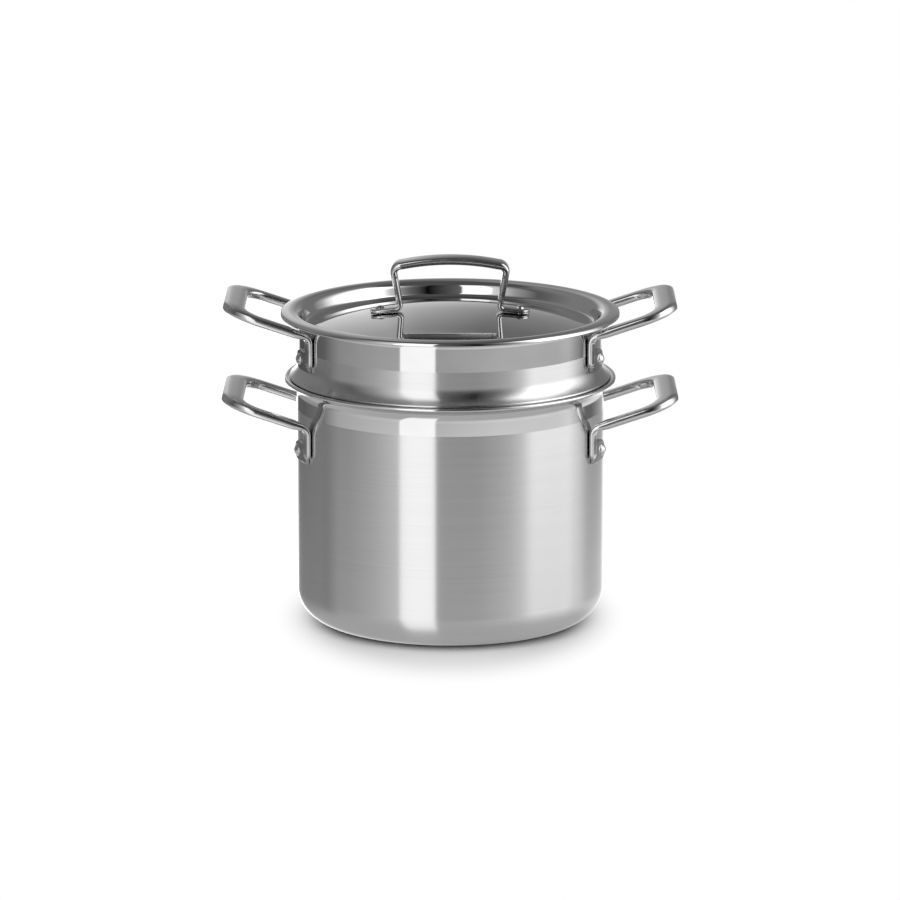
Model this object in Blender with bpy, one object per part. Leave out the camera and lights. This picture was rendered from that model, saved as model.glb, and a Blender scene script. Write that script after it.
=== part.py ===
# Pasta pot: a pot, a lift-out strainer insert that seats in its flared lip, and a recessed lid.
# The pot and the insert each carry two cast loop handles, and the lid carries one arched handle.
# The Z axis is the common axis, the base rests on z = 0, and the handles lie along X.

import math

import bmesh
import bpy
from mathutils import Matrix, Vector

MM = 0.001

# Fits and fineness
GAP = 0.3 * MM                      # between pieces that touch
TURN_STEPS = 36                     # facets round each turned shell
ARC_STEPS = 4                       # facets in each rounded stretch of a profile
SECTION_POINTS = 8                  # points round a handle bar's section
SECTION_POWER = 0.75                # 1 makes the section an oval, 0 a box
END_STEPS = 3                       # rings that round the end of a leg or a tab
DRILL_DEPTH = 20.0 * MM
SHARP_EDGE = math.radians(35)

# Pot
POT_RADIUS = 102.5 * MM             # outside of the wall
POT_SHEET = 2.5 * MM
POT_CORNER = 21.7 * MM              # outside radius between base and wall
POT_WALL_TOP = 154.0 * MM           # height where the wall starts to flare
POT_LIP_BEND = 11.0 * MM            # radius of the flare on its inner side
POT_LIP_SWEEP = math.radians(80)

# Strainer insert
SHEET = 1.2 * MM                    # insert and lid
BASKET_CLEARANCE = 3.0 * MM         # between the basket and the pot's wall
BASKET_LIFT = 19.5 * MM             # water space between the two floors
BASKET_CORNER = 14.0 * MM
SEAT_ANGLE = math.radians(65)       # how far round the pot's flare the insert seats
BEAD_BEND = 1.1 * MM                # outside radius of the folded bead
BEAD_END = math.radians(57)         # where the bead turns into the collar's flare
COLLAR_STEP = 1.3 * MM              # from the pot's wall in to the collar's
COLLAR_FLARE = 10.3 * MM            # height from the bead to the straight collar
COLLAR_HEIGHT = 32.4 * MM           # from there to the top of the insert's lip
COLLAR_LIP_BEND = 5.2 * MM
COLLAR_LIP_SWEEP = math.radians(80)
HOLE_RADIUS = 2.9 * MM              # perforations
HOLE_SIDES = 6
HOLE_PITCH = 30.0 * MM              # between the holes of one facet of the basket's wall
HOLE_MARGIN = 8.0 * MM              # solid wall below the lowest holes
HOLE_BAND = 14.0 * MM               # solid wall between the highest holes and the pot's flare
FLOOR_PITCH = 24.0 * MM             # between the rings of holes in the floor
FLOOR_MARGIN = 4.0 * MM             # solid floor outside the last ring

# Lid
LID_OVERHANG = 11.8 * MM            # beyond the collar's wall
LID_EDGE_DROP = 2.9 * MM            # height of the turned-down edge
LID_EDGE_BEND = 2.4 * MM
LID_RECESS = 10.4 * MM              # depth of the trough below the flange
LID_SHOULDER = 4.0 * MM             # radius from the flange into the recess
LID_DRAFT = math.radians(20)        # lean of the recess wall, which rests on the insert's lip
LID_COVE = 3.5 * MM                 # radius from the recess wall into the trough
LID_TROUGH = 5.0 * MM               # flat between the trough's cove and the dome
LID_DOME_SPHERE = 393.0 * MM

# Side handles, cast loops whose legs hug the wall
HANDLE_SPREAD = 89.0 * MM           # between the two arms' centre lines
HANDLE_REACH = 49.2 * MM            # from the wall to the grip's outer edge
HANDLE_SLOPE = math.radians(18.4)   # rise of the arms
POT_HANDLE_DROP = 20.7 * MM         # from the top of the pot's wall down to the leg's top
INSERT_HANDLE_RISE = 19.0 * MM      # from the foot of the collar up to the leg's top
HANDLE_LEG = 16.6 * MM              # length of the leg
HANDLE_BEND = 5.6 * MM              # centre line radius between leg and arm
HANDLE_DROOP = 55.0 * MM            # radius that levels the grip
HANDLE_LEVEL = 45.0 * MM            # length of arm before it starts to level
HANDLE_CORNER = 16.0 * MM           # centre line radius between arm and grip
LEG_WIDTH = 6.4 * MM
LEG_THICKNESS = 4.0 * MM
ARM_WIDTH = 9.4 * MM
ARM_THICKNESS = 6.0 * MM
GRIP_WIDTH = 15.0 * MM
GRIP_THICKNESS = 7.2 * MM
TAB_THICKNESS = 2.4 * MM
TAB_HEIGHT = 13.8 * MM
TAB_RIVET = 30.0 * MM               # rivet's distance from the handle's middle plane
TAB_DROP = 13.1 * MM                # rivet's height below the leg's top

# Lid handle, an arched strap on two tabs
STRAP_HEIGHT = 36.6 * MM            # of the strap's top above the lid's crown
STRAP_FOOT_SPAN = 66.6 * MM         # between the legs' centre lines at the feet
STRAP_TOP_SPAN = 74.6 * MM          # and at the shoulders
STRAP_ARCH = 3.2 * MM               # rise of the top bar
STRAP_CORNER = 5.0 * MM
STRAP_FOOT_BEND = 3.0 * MM
STRAP_TAB_REACH = 53.0 * MM         # from the middle to a tab's end
STRAP_TOP_WIDTH = 16.5 * MM
STRAP_TOP_THICKNESS = 5.8 * MM
STRAP_LEG_WIDTH = 12.0 * MM
STRAP_LEG_THICKNESS = 4.2 * MM
STRAP_TAB_WIDTH = 11.5 * MM
STRAP_TAB_THICKNESS = 3.2 * MM
STRAP_RIVET = 46.2 * MM             # rivet's distance from the middle
STRAP_TAB_ROUND = 4.4 * MM          # from the rivet to where the tab's end narrows
STRAP_FOOT_FLAT = 2.0 * MM          # flat tab between the rivet and the leg's bend

# Rivets
RIVET_HEAD = 4.2 * MM               # radii and heights
RIVET_HEAD_HEIGHT = 2.4 * MM
RIVET_SHANK = 2.4 * MM
RIVET_FOOT = 5.0 * MM
RIVET_FOOT_HEIGHT = 1.1 * MM
LID_RIVET_SCALE = 0.76
RIVET_STEPS = 10                    # facets round a rivet

# Heights and radii that follow
POT_INNER = POT_RADIUS - POT_SHEET
LIP_CENTRE = POT_INNER + POT_LIP_BEND
BASKET_RADIUS = POT_INNER - BASKET_CLEARANCE
BASKET_FLOOR = POT_SHEET + BASKET_LIFT
SEAT_BEND = POT_LIP_BEND + GAP
SEAT_RADIUS = LIP_CENTRE - SEAT_BEND * math.cos(SEAT_ANGLE)
SEAT_HEIGHT = POT_WALL_TOP + SEAT_BEND * math.sin(SEAT_ANGLE)
COLLAR_FOOT = SEAT_HEIGHT + BEAD_BEND + COLLAR_FLARE
INSERT_TOP = COLLAR_FOOT + COLLAR_HEIGHT
COLLAR_RADIUS = POT_RADIUS - COLLAR_STEP
COLLAR_INNER = COLLAR_RADIUS - SHEET
NEST_RADIUS = COLLAR_INNER + COLLAR_LIP_BEND
NEST_HEIGHT = INSERT_TOP - COLLAR_LIP_BEND * math.sin(COLLAR_LIP_SWEEP)
LID_RADIUS = COLLAR_RADIUS + LID_OVERHANG
FLANGE_TOP = INSERT_TOP + GAP + SHEET
TROUGH_TOP = FLANGE_TOP - LID_RECESS
POT_HANDLE_ROOT = POT_WALL_TOP - POT_HANDLE_DROP
INSERT_HANDLE_ROOT = COLLAR_FOOT + INSERT_HANDLE_RISE
FACET_HALF = math.pi / TURN_STEPS


def recess_radius(away, height):
    """Radius of a point at a height, and that far from the insert's lip centre across the recess wall."""
    return NEST_RADIUS - (away - (height - NEST_HEIGHT) * math.sin(LID_DRAFT)) / math.cos(LID_DRAFT)


LID_SEAT = COLLAR_LIP_BEND + GAP + SHEET
SHOULDER_RADIUS = recess_radius(LID_SEAT - LID_SHOULDER, FLANGE_TOP - LID_SHOULDER)
COVE_RADIUS = recess_radius(LID_SEAT + LID_COVE, TROUGH_TOP + LID_COVE)
TROUGH_RADIUS = COVE_RADIUS - LID_TROUGH
LID_CROWN = TROUGH_TOP + TROUGH_RADIUS * TROUGH_RADIUS / (2 * LID_DOME_SPHERE)
STRAP_MIDDLE = LID_CROWN + STRAP_HEIGHT - STRAP_TOP_THICKNESS / 2


def arc(centre, radius, start, end, steps=ARC_STEPS):
    """Points of an arc in the (r, z) plane, with angles counted from the r axis."""
    points = []
    for step in range(steps + 1):
        angle = start + (end - start) * step / steps
        points.append((centre[0] + radius * math.cos(angle), centre[1] + radius * math.sin(angle)))
    return points


def offset_line(line, distance):
    """The line moved sideways to its left by a distance, along the normals at its points."""
    moved = []
    for index, (r, z) in enumerate(line):
        before = line[max(index - 1, 0)]
        after = line[min(index + 1, len(line) - 1)]
        into = Vector((r - before[0], z - before[1]))
        out = Vector((after[0] - r, after[1] - z))
        if into.length == 0.0:
            into = out
        if out.length == 0.0:
            out = into
        into.normalize()
        out.normalize()
        normal = Vector((-into.y - out.y, into.x + out.x)).normalized()
        mitre = distance / max(normal.dot(Vector((-out.y, out.x))), 0.5)
        moved.append((r + normal.x * mitre, z + normal.y * mitre))
    return moved


def sheet_profile(line, thickness):
    """The closed section of a bent sheet: its lower or outer side is the line, from the axis outwards."""
    other = offset_line(line, thickness)
    other[0] = (0.0, line[0][1] + thickness)
    end = Vector(line[-1])
    far = Vector(other[-1])
    middle = (end + far) / 2.0
    forward = Vector(((far - end).y, -(far - end).x)).normalized()
    nose = middle + forward * thickness / 2.0
    shoulder = forward * thickness * 0.35
    rim = [end.lerp(middle, 0.3) + shoulder, nose, far.lerp(middle, 0.3) + shoulder]
    return line + [tuple(point) for point in rim] + other[::-1]


def make_object(name, mesh_data, material=None):
    """A new object in the scene, shaded smooth with sharp edges kept."""
    item = bpy.data.objects.new(name, mesh_data)
    bpy.context.scene.collection.objects.link(item)
    if material:
        mesh_data.materials.clear()
        mesh_data.materials.append(material)
        mesh_data.shade_smooth()
        mesh_data.set_sharp_from_angle(angle=SHARP_EDGE)
    return item


def mesh_from(shape, name):
    """A mesh with its faces pointing out."""
    bmesh.ops.recalc_face_normals(shape, faces=shape.faces)
    data = bpy.data.meshes.new(name)
    shape.to_mesh(data)
    shape.free()
    return data


def turned_mesh(name, profile, steps=TURN_STEPS):
    """A body turned about Z from a profile that starts and ends on the axis."""
    shape = bmesh.new()
    points = [shape.verts.new((r, 0.0, z)) for r, z in profile]
    edges = [shape.edges.new(pair) for pair in zip(points, points[1:])]
    bmesh.ops.spin(
        shape, geom=points + edges, cent=(0, 0, 0), axis=(0, 0, 1), angle=math.tau, steps=steps, use_merge=True
    )
    bmesh.ops.remove_doubles(shape, verts=shape.verts, dist=0.001 * MM)
    return mesh_from(shape, name)


def add_loft(shape, rings):
    """A skin over rings of points, closed at both ends."""
    loops = [[shape.verts.new(point) for point in ring] for ring in rings]
    for first, second in zip(loops, loops[1:]):
        for index in range(len(first)):
            following = (index + 1) % len(first)
            shape.faces.new((first[index], first[following], second[following], second[index]))
    shape.faces.new(loops[0])
    shape.faces.new(loops[-1])


def loft_mesh(name, rings):
    """A body of its own from rings of points."""
    shape = bmesh.new()
    add_loft(shape, rings)
    return mesh_from(shape, name)


def cutter(name, mesh_data):
    """A guide object that only a Boolean reads."""
    item = make_object(name, mesh_data)
    item.hide_render = True
    item.display_type = "WIRE"
    return item


def cut(item, tool, operation="DIFFERENCE"):
    """A Boolean of the item with a guide object."""
    step = item.modifiers.new(tool.name, "BOOLEAN")
    step.operation = operation
    step.solver = "EXACT"
    step.object = tool


def finished_mesh(item, name):
    """The mesh that an object's modifiers give, and the object removed."""
    view = bpy.context.evaluated_depsgraph_get()
    data = bpy.data.meshes.new_from_object(item.evaluated_get(view))
    data.name = name
    tools = [step.object for step in item.modifiers]
    for used in tools + [item]:
        bpy.data.objects.remove(used)
    return data


def steel(name, shade, roughness):
    """A stainless steel finish."""
    material = bpy.data.materials.new(name)
    material.use_nodes = True
    shader = material.node_tree.nodes["Principled BSDF"]
    shader.inputs["Base Color"].default_value = (shade, shade, shade, 1.0)
    shader.inputs["Metallic"].default_value = 1.0
    shader.inputs["Roughness"].default_value = roughness
    return material


def bar_section(centre, side, up, width, thickness):
    """A rounded section across a bar: a superellipse between an oval and a box."""
    ring = []
    for index in range(SECTION_POINTS):
        angle = math.tau * (index + 0.5) / SECTION_POINTS
        across = math.copysign(abs(math.cos(angle)) ** SECTION_POWER, math.cos(angle)) * width / 2
        raised = math.copysign(abs(math.sin(angle)) ** SECTION_POWER, math.sin(angle)) * thickness / 2
        ring.append(centre + side * across + up * raised)
    return ring


def blend(start, end, share):
    """A smooth step from start to end."""
    share = min(max(share, 0.0), 1.0)
    share = share * share * (3 - 2 * share)
    return start + (end - start) * share


# Pot

def pot_profile():
    """Floor, corner, wall and flared pouring lip."""
    quarter = math.pi / 2
    line = [(0.0, 0.0)]
    line += arc((POT_RADIUS - POT_CORNER, POT_CORNER), POT_CORNER, -quarter, 0.0, ARC_STEPS + 2)
    lip = (LIP_CENTRE, POT_WALL_TOP)
    line += arc(lip, POT_LIP_BEND - POT_SHEET, math.pi, math.pi - POT_LIP_SWEEP)
    return sheet_profile(line, POT_SHEET)


def pot_body(material):
    body = make_object("pot_body", turned_mesh("pot_body", pot_profile()), material)
    cut(body, rivet_bores("pot_rivet_bores", POT_RADIUS, POT_HANDLE_ROOT))
    return body


# Strainer insert

def insert_profile():
    """Perforated basket, a flank that closes on the pot's lip, folded bead, collar and lip."""
    quarter = math.pi / 2
    corner = (BASKET_RADIUS - BASKET_CORNER, BASKET_FLOOR + BASKET_CORNER)
    line = [(0.0, BASKET_FLOOR)]
    line += arc(corner, BASKET_CORNER, -quarter, 0.0)
    flank = LIP_CENTRE - BASKET_RADIUS
    for step in range(ARC_STEPS + 1):
        share = step / ARC_STEPS
        reach = flank + (SEAT_BEND - flank) * share
        angle = SEAT_ANGLE * share
        line.append((LIP_CENTRE - reach * math.cos(angle), POT_WALL_TOP + reach * math.sin(angle)))
    bead = (SEAT_RADIUS - BEAD_BEND * math.cos(SEAT_ANGLE), SEAT_HEIGHT + BEAD_BEND * math.sin(SEAT_ANGLE))
    line += arc(bead, BEAD_BEND, -SEAT_ANGLE, BEAD_END, 3)[1:]
    end = line[-1]
    rise = COLLAR_FOOT - end[1]
    step_in = end[0] - COLLAR_RADIUS
    sweep = (step_in * step_in + rise * rise) / (2 * step_in)
    turn = math.asin(rise / sweep)
    line += arc((COLLAR_RADIUS + sweep, COLLAR_FOOT), sweep, math.pi + turn, math.pi, 3)[1:]
    lip_height = INSERT_TOP - COLLAR_LIP_BEND * math.sin(COLLAR_LIP_SWEEP)
    lip = (COLLAR_INNER + COLLAR_LIP_BEND, lip_height)
    line += arc(lip, COLLAR_LIP_BEND - SHEET, math.pi, math.pi - COLLAR_LIP_SWEEP, 3)
    return sheet_profile(line, SHEET)


def add_drill(shape, place):
    """A short many-sided drill along local Z at a place."""
    bmesh.ops.create_cone(
        shape, cap_ends=True, segments=HOLE_SIDES, radius1=HOLE_RADIUS, radius2=HOLE_RADIUS,
        depth=8 * SHEET, matrix=place,
    )


def wall_drills():
    """Staggered holes, a column of them in the middle of each facet of the basket's wall."""
    shape = bmesh.new()
    first = BASKET_FLOOR + BASKET_CORNER + HOLE_MARGIN
    rows = int((POT_WALL_TOP - HOLE_BAND - first) / HOLE_PITCH)
    for column in range(TURN_STEPS):
        turn = Matrix.Rotation(math.tau * (column + 0.5) / TURN_STEPS, 4, "Z")
        for row in range(rows):
            height = first + (row + 0.5 * (column % 2)) * HOLE_PITCH
            place = Matrix.Translation((BASKET_RADIUS, 0, height))
            add_drill(shape, turn @ place @ Matrix.Rotation(math.pi / 2, 4, "Y"))
    return cutter("basket_wall_holes", mesh_from(shape, "basket_wall_holes"))


def floor_drills():
    """Rings of holes round one in the middle of the floor."""
    shape = bmesh.new()
    add_drill(shape, Matrix.Translation((0, 0, BASKET_FLOOR)))
    rings = int((BASKET_RADIUS - BASKET_CORNER - FLOOR_MARGIN) / FLOOR_PITCH)
    for ring in range(1, rings + 1):
        for index in range(6 * ring):
            turn = Matrix.Rotation(math.tau * (index + 0.25) / (6 * ring), 4, "Z")
            add_drill(shape, turn @ Matrix.Translation((FLOOR_PITCH * ring, 0, BASKET_FLOOR)))
    return cutter("basket_floor_holes", mesh_from(shape, "basket_floor_holes"))


def strainer_insert(material):
    body = make_object("strainer_insert", turned_mesh("strainer_insert", insert_profile()), material)
    cut(body, wall_drills())
    cut(body, floor_drills())
    cut(body, rivet_bores("insert_rivet_bores", COLLAR_RADIUS, INSERT_HANDLE_ROOT))
    return body


# Lid

def dome_height(reach):
    """Height of the dome's top surface at a distance from the axis."""
    return LID_CROWN - reach * reach / (2 * LID_DOME_SPHERE)


def lid_profile():
    """Dome, trough, a recess wall on the insert's lip, flange and turned-down edge, along the underside."""
    quarter = math.pi / 2
    line = []
    for step in range(ARC_STEPS + 1):
        reach = TROUGH_RADIUS * step / ARC_STEPS
        line.append((reach, dome_height(reach) - SHEET))
    line += arc((COVE_RADIUS, TROUGH_TOP + LID_COVE), LID_COVE + SHEET, -quarter, -LID_DRAFT, 3)
    shoulder = (SHOULDER_RADIUS, FLANGE_TOP - LID_SHOULDER)
    line += arc(shoulder, LID_SHOULDER - SHEET, math.pi - LID_DRAFT, quarter, 3)
    edge = (LID_RADIUS - LID_EDGE_BEND, FLANGE_TOP - LID_EDGE_BEND)
    line += arc(edge, LID_EDGE_BEND - SHEET, quarter, 0.0, 2)
    line.append((LID_RADIUS - SHEET, FLANGE_TOP - LID_EDGE_DROP))
    return sheet_profile(line, SHEET)


def lid_cover(material):
    body = make_object("lid_cover", turned_mesh("lid_cover", lid_profile()), material)
    for side in (-1, 1):
        cut(body, strap_bore(side))
    return body


# Side handles

def leg_offset(wall):
    """Distance from the axis to the leg's centre line."""
    return wall + GAP + LEG_THICKNESS / 2


def strip_point(travel, wall, root):
    """A point of the bent strip that the loop lies in: reach, height and the strip's slope."""
    outer = leg_offset(wall)
    reach = math.sqrt(outer * outer - HANDLE_SPREAD * HANDLE_SPREAD / 4)
    foot = root - HANDLE_LEG
    if travel <= HANDLE_LEG:
        return reach, foot + travel, math.pi / 2
    travel -= HANDLE_LEG
    whole = math.pi / 2 - HANDLE_SLOPE
    turn = min(travel / HANDLE_BEND, whole)
    reach += HANDLE_BEND * (1 - math.cos(turn))
    height = root + HANDLE_BEND * math.sin(turn)
    travel -= HANDLE_BEND * turn
    straight = min(travel, HANDLE_LEVEL)
    reach += straight * math.cos(math.pi / 2 - turn)
    height += straight * math.sin(math.pi / 2 - turn)
    turn_down = max(travel - straight, 0.0) / HANDLE_DROOP
    slope = math.pi / 2 - turn - turn_down
    reach += HANDLE_DROOP * (math.sin(slope + turn_down) - math.sin(slope))
    height += HANDLE_DROOP * (math.cos(slope) - math.cos(slope + turn_down))
    return reach, height, slope


def grip_travel(wall):
    """How far along the strip the grip's centre line lies."""
    low, high = HANDLE_LEG, HANDLE_LEG + 2 * HANDLE_REACH
    for _ in range(40):
        middle = (low + high) / 2
        if strip_point(middle, wall, 0.0)[0] < wall + HANDLE_REACH - GRIP_WIDTH / 2:
            low = middle
        else:
            high = middle
    return low


def round_end(radius):
    """Depth and half breadth of the rings that close a round end."""
    turns = [math.pi / 2 * step / END_STEPS for step in range(1, END_STEPS + 1)]
    return [(radius * (1 - math.cos(turn)), radius * math.sin(turn)) for turn in turns]


def half_route(wall):
    """Stations along one leg, arm, corner and half the grip: travel, offset, heading and end rounding."""
    half = HANDLE_SPREAD / 2
    far = grip_travel(wall)
    bend_end = HANDLE_LEG + HANDLE_BEND * (math.pi / 2 - HANDLE_SLOPE)
    start = far - HANDLE_CORNER
    round_leg = LEG_WIDTH / 2
    stations = [(depth, half, 0.0, breadth / round_leg) for depth, breadth in round_end(round_leg)]
    stations.append((HANDLE_LEG, half, 0.0, 1.0))
    for step in range(1, ARC_STEPS + 1):
        stations.append((HANDLE_LEG + (bend_end - HANDLE_LEG) * step / ARC_STEPS, half, 0.0, 1.0))
    stations.append(((bend_end + start) / 2, half, 0.0, 1.0))
    for step in range(ARC_STEPS + 1):
        heading = math.pi / 2 * step / ARC_STEPS
        travel = start + HANDLE_CORNER * math.sin(heading)
        stations.append((travel, half - HANDLE_CORNER * (1 - math.cos(heading)), heading, 1.0))
    return stations


def handle_ring(station, wall, root, mirror):
    """The bar's section at a station, on the +Y half or mirrored to the -Y half."""
    travel, offset, heading, rounding = station
    reach, height, slope = strip_point(travel, wall, root)
    along = Vector((math.cos(slope), 0.0, math.sin(slope)))
    across = Vector((0.0, 1.0, 0.0))
    up = Vector((-math.sin(slope), 0.0, math.cos(slope)))
    arm_share = (travel - HANDLE_LEG) / (2 * HANDLE_BEND)
    grip_share = heading / (math.pi / 2)
    hug = math.asin(HANDLE_SPREAD / 2 / leg_offset(wall))
    turned = Matrix.Rotation(blend(hug, 0.0, arm_share), 3, along)
    side = turned @ (across * math.cos(heading) + along * math.sin(heading))
    up = turned @ up
    width = blend(blend(LEG_WIDTH, ARM_WIDTH, arm_share), GRIP_WIDTH, grip_share)
    thickness = blend(blend(LEG_THICKNESS, ARM_THICKNESS, arm_share), GRIP_THICKNESS, grip_share)
    centre = Vector((reach, offset, height))
    ring = bar_section(centre, side, up, width * rounding, thickness * math.sqrt(rounding))
    if mirror:
        ring = [Vector((point.x, -point.y, point.z)) for point in ring]
    return ring


def tab_rings(wall, root, mirror):
    """A curved pad on the wall, from its round end past the rivet to the leg."""
    inner = wall + GAP
    outer = inner + TAB_THICKNESS
    high = TAB_HEIGHT / 2
    last = HANDLE_SPREAD / 2
    middle = root - TAB_DROP
    rings = [(TAB_RIVET - high + depth, half) for depth, half in round_end(high)]
    rings += [((TAB_RIVET + last) / 2, high), (last, high)]
    found = []
    for offset, half in rings:
        angle = math.asin(offset / outer)
        sideways = Vector((math.cos(angle), -math.sin(angle) if mirror else math.sin(angle), 0.0))
        corners = ((inner, -half), (outer, -half), (outer, half), (inner, half))
        found.append([sideways * away + Vector((0, 0, middle + height)) for away, height in corners])
    return found


def side_handle_mesh(name, wall, root):
    """One loop handle for the +X side: the bar, its two riveting tabs and their bores."""
    route = half_route(wall)
    rings = [handle_ring(station, wall, root, False) for station in route]
    rings += [handle_ring(station, wall, root, True) for station in route[::-1]]
    item = make_object(name, loft_mesh(name, rings))
    for mirror in (False, True):
        tab = loft_mesh("tab", tab_rings(wall, root, mirror))
        cut(item, cutter(name + ("_front_tab" if mirror else "_back_tab"), tab), "UNION")
    cut(item, rivet_bores(name + "_bores", wall, root, sides=(0,)))
    return finished_mesh(item, name)


def side_handles(prefix, wall, root, material):
    """The two loop handles of one vessel."""
    data = side_handle_mesh(prefix + "_handle", wall, root)
    for side, turn in (("right", 0.0), ("left", math.pi)):
        item = make_object(prefix + "_handle_" + side, data, material)
        item.rotation_euler = (0, 0, turn)


# Rivets

def rivet_angles(wall, sides=(0, 1)):
    """The directions of the rivets round the axis, with a side, row and angle for each."""
    swing = math.asin(TAB_RIVET / (wall + GAP + TAB_THICKNESS))
    found = []
    for side in sides:
        for row in (-1, 1):
            found.append((side, row, math.pi * side + row * swing))
    return found


def rivet_bores(name, wall, root, sides=(0, 1)):
    """Drills for the shanks, through the wall and the tabs."""
    shape = bmesh.new()
    radius = RIVET_SHANK + GAP
    for _, _, angle in rivet_angles(wall, sides):
        place = Matrix.Rotation(angle, 4, "Z") @ Matrix.Translation((wall, 0, root - TAB_DROP))
        bmesh.ops.create_cone(
            shape, cap_ends=True, segments=RIVET_STEPS, radius1=radius, radius2=radius, depth=DRILL_DEPTH,
            matrix=place @ Matrix.Rotation(math.pi / 2, 4, "Y"),
        )
    return cutter(name, mesh_from(shape, name))


def rivet_mesh(name, stack, scale=1.0):
    """A rivet along Z: its domed head sits above z = 0 and its flat foot lies a stack below."""
    head = RIVET_HEAD * scale
    rise = RIVET_HEAD_HEIGHT * scale
    shank = RIVET_SHANK * scale
    foot = RIVET_FOOT * scale
    sole = -stack - RIVET_FOOT_HEIGHT * scale
    profile = [(0.0, sole), (foot * 0.9, sole), (foot, -stack), (shank, -stack)]
    profile += [(shank, 0.0), (head, 0.0), (head * 0.9, rise * 0.5), (head * 0.5, rise * 0.9)]
    profile.append((0.0, rise))
    return turned_mesh(name, profile, RIVET_STEPS)


def wall_rivets(prefix, wall, sheet, root, material):
    """The four rivets of one vessel, each through a tab and the wall."""
    seat = wall + GAP + TAB_THICKNESS + GAP
    inside = (wall - sheet) * math.cos(FACET_HALF) - GAP - RIVET_FOOT * math.sin(FACET_HALF)
    data = rivet_mesh(prefix + "_rivet", seat - inside)
    for side, row, angle in rivet_angles(wall):
        place = "left" if side else "right"
        rank = "back" if (row > 0) != (side > 0) else "front"
        item = make_object(prefix + "_rivet_" + place + "_" + rank, data, material)
        item.location = (seat * math.cos(angle), seat * math.sin(angle), root - TAB_DROP)
        item.rotation_euler = (0, math.pi / 2, angle)


def strap_slope():
    """The dome's fall at the lid handle's rivets."""
    return math.asin(STRAP_RIVET / LID_DOME_SPHERE)


def strap_seat(side, above):
    """A point above the dome at a rivet of the lid handle, along the dome's normal."""
    slope = strap_slope()
    away = STRAP_RIVET + above * math.sin(slope)
    return Vector((side * away, 0.0, dome_height(STRAP_RIVET) + above * math.cos(slope)))


def strap_bore(side):
    """A drill for one of the lid handle's rivets."""
    shape = bmesh.new()
    radius = RIVET_SHANK * LID_RIVET_SCALE + GAP
    place = Matrix.Translation(strap_seat(side, 0.0)) @ Matrix.Rotation(side * strap_slope(), 4, "Y")
    bmesh.ops.create_cone(
        shape, cap_ends=True, segments=RIVET_STEPS, radius1=radius, radius2=radius, depth=DRILL_DEPTH, matrix=place
    )
    name = "strap_bore_" + ("right" if side > 0 else "left")
    return cutter(name, mesh_from(shape, name))


def lid_rivets(material):
    stack = GAP + STRAP_TAB_THICKNESS + GAP + SHEET + 2 * GAP
    data = rivet_mesh("lid_rivet", stack, LID_RIVET_SCALE)
    for side, name in ((-1, "lid_rivet_left"), (1, "lid_rivet_right")):
        item = make_object(name, data, material)
        item.location = strap_seat(side, GAP + STRAP_TAB_THICKNESS + GAP)
        item.rotation_euler = (0, side * strap_slope(), 0)


# Lid handle

def strap_route():
    """Half the strap's centre line, from a tab's end to the middle of the top bar."""
    slope = strap_slope()
    seat = GAP + STRAP_TAB_THICKNESS / 2
    points = []
    foot = STRAP_FOOT_SPAN / 2
    rivet = strap_seat(1, seat)
    tab_start = foot + STRAP_FOOT_BEND + STRAP_FOOT_FLAT
    for reach in (STRAP_TAB_REACH, STRAP_RIVET + STRAP_TAB_ROUND, STRAP_RIVET, tab_start):
        points.append((reach, rivet.z - (reach - rivet.x) * math.tan(slope)))
    base = points[-1][1] + STRAP_FOOT_FLAT * math.tan(slope)
    shoulder = STRAP_TOP_SPAN / 2
    lean = (shoulder - foot) / (STRAP_MIDDLE - base)
    bend = (foot + STRAP_FOOT_BEND, base + STRAP_FOOT_BEND)
    points += arc(bend, STRAP_FOOT_BEND, -math.pi / 2, -math.pi, 3)
    low = points[-1]
    corner_top = STRAP_MIDDLE - STRAP_ARCH
    corner_low = corner_top - STRAP_CORNER
    points.append((low[0] + (corner_low - low[1]) * lean * 0.5, (low[1] + corner_low) / 2))
    points += arc((shoulder - STRAP_CORNER, corner_low), STRAP_CORNER, 0.0, math.pi / 2, 4)
    run = shoulder - STRAP_CORNER
    for share in (0.72, 0.4):
        points.append((run * share, corner_top + STRAP_ARCH * (1 - share * share)))
    return points


def strap_rings():
    """Sections of the whole strap, from the right tab's end over the top to the left tab's end."""
    half = strap_route()
    whole = half + [(0.0, STRAP_MIDDLE)] + [(-x, z) for x, z in half[::-1]]
    tab_end = 4
    bend_end = 8
    corner = 13
    rings = []
    for index, (x, z) in enumerate(whole):
        before = whole[max(index - 1, 0)]
        after = whole[min(index + 1, len(whole) - 1)]
        along = Vector((after[0] - before[0], 0.0, after[1] - before[1])).normalized()
        side = Vector((0.0, 1.0, 0.0))
        up = along.cross(side)
        step = min(index, len(whole) - 1 - index)
        rise = (step - tab_end + 1) / (bend_end - tab_end)
        spread = (step - bend_end) / (corner - bend_end)
        width = blend(STRAP_TAB_WIDTH, STRAP_LEG_WIDTH, rise)
        width = blend(width, STRAP_TOP_WIDTH, spread)
        thickness = blend(STRAP_TAB_THICKNESS, STRAP_LEG_THICKNESS, rise)
        thickness = blend(thickness, STRAP_TOP_THICKNESS, spread)
        if step == 0:
            width *= 0.5
        rings.append(bar_section(Vector((x, 0.0, z)), side, up, width, thickness))
    return rings


def lid_handle(material):
    body = make_object("lid_handle", loft_mesh("lid_handle", strap_rings()), material)
    for side in (-1, 1):
        cut(body, strap_bore(side))
    return body


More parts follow.
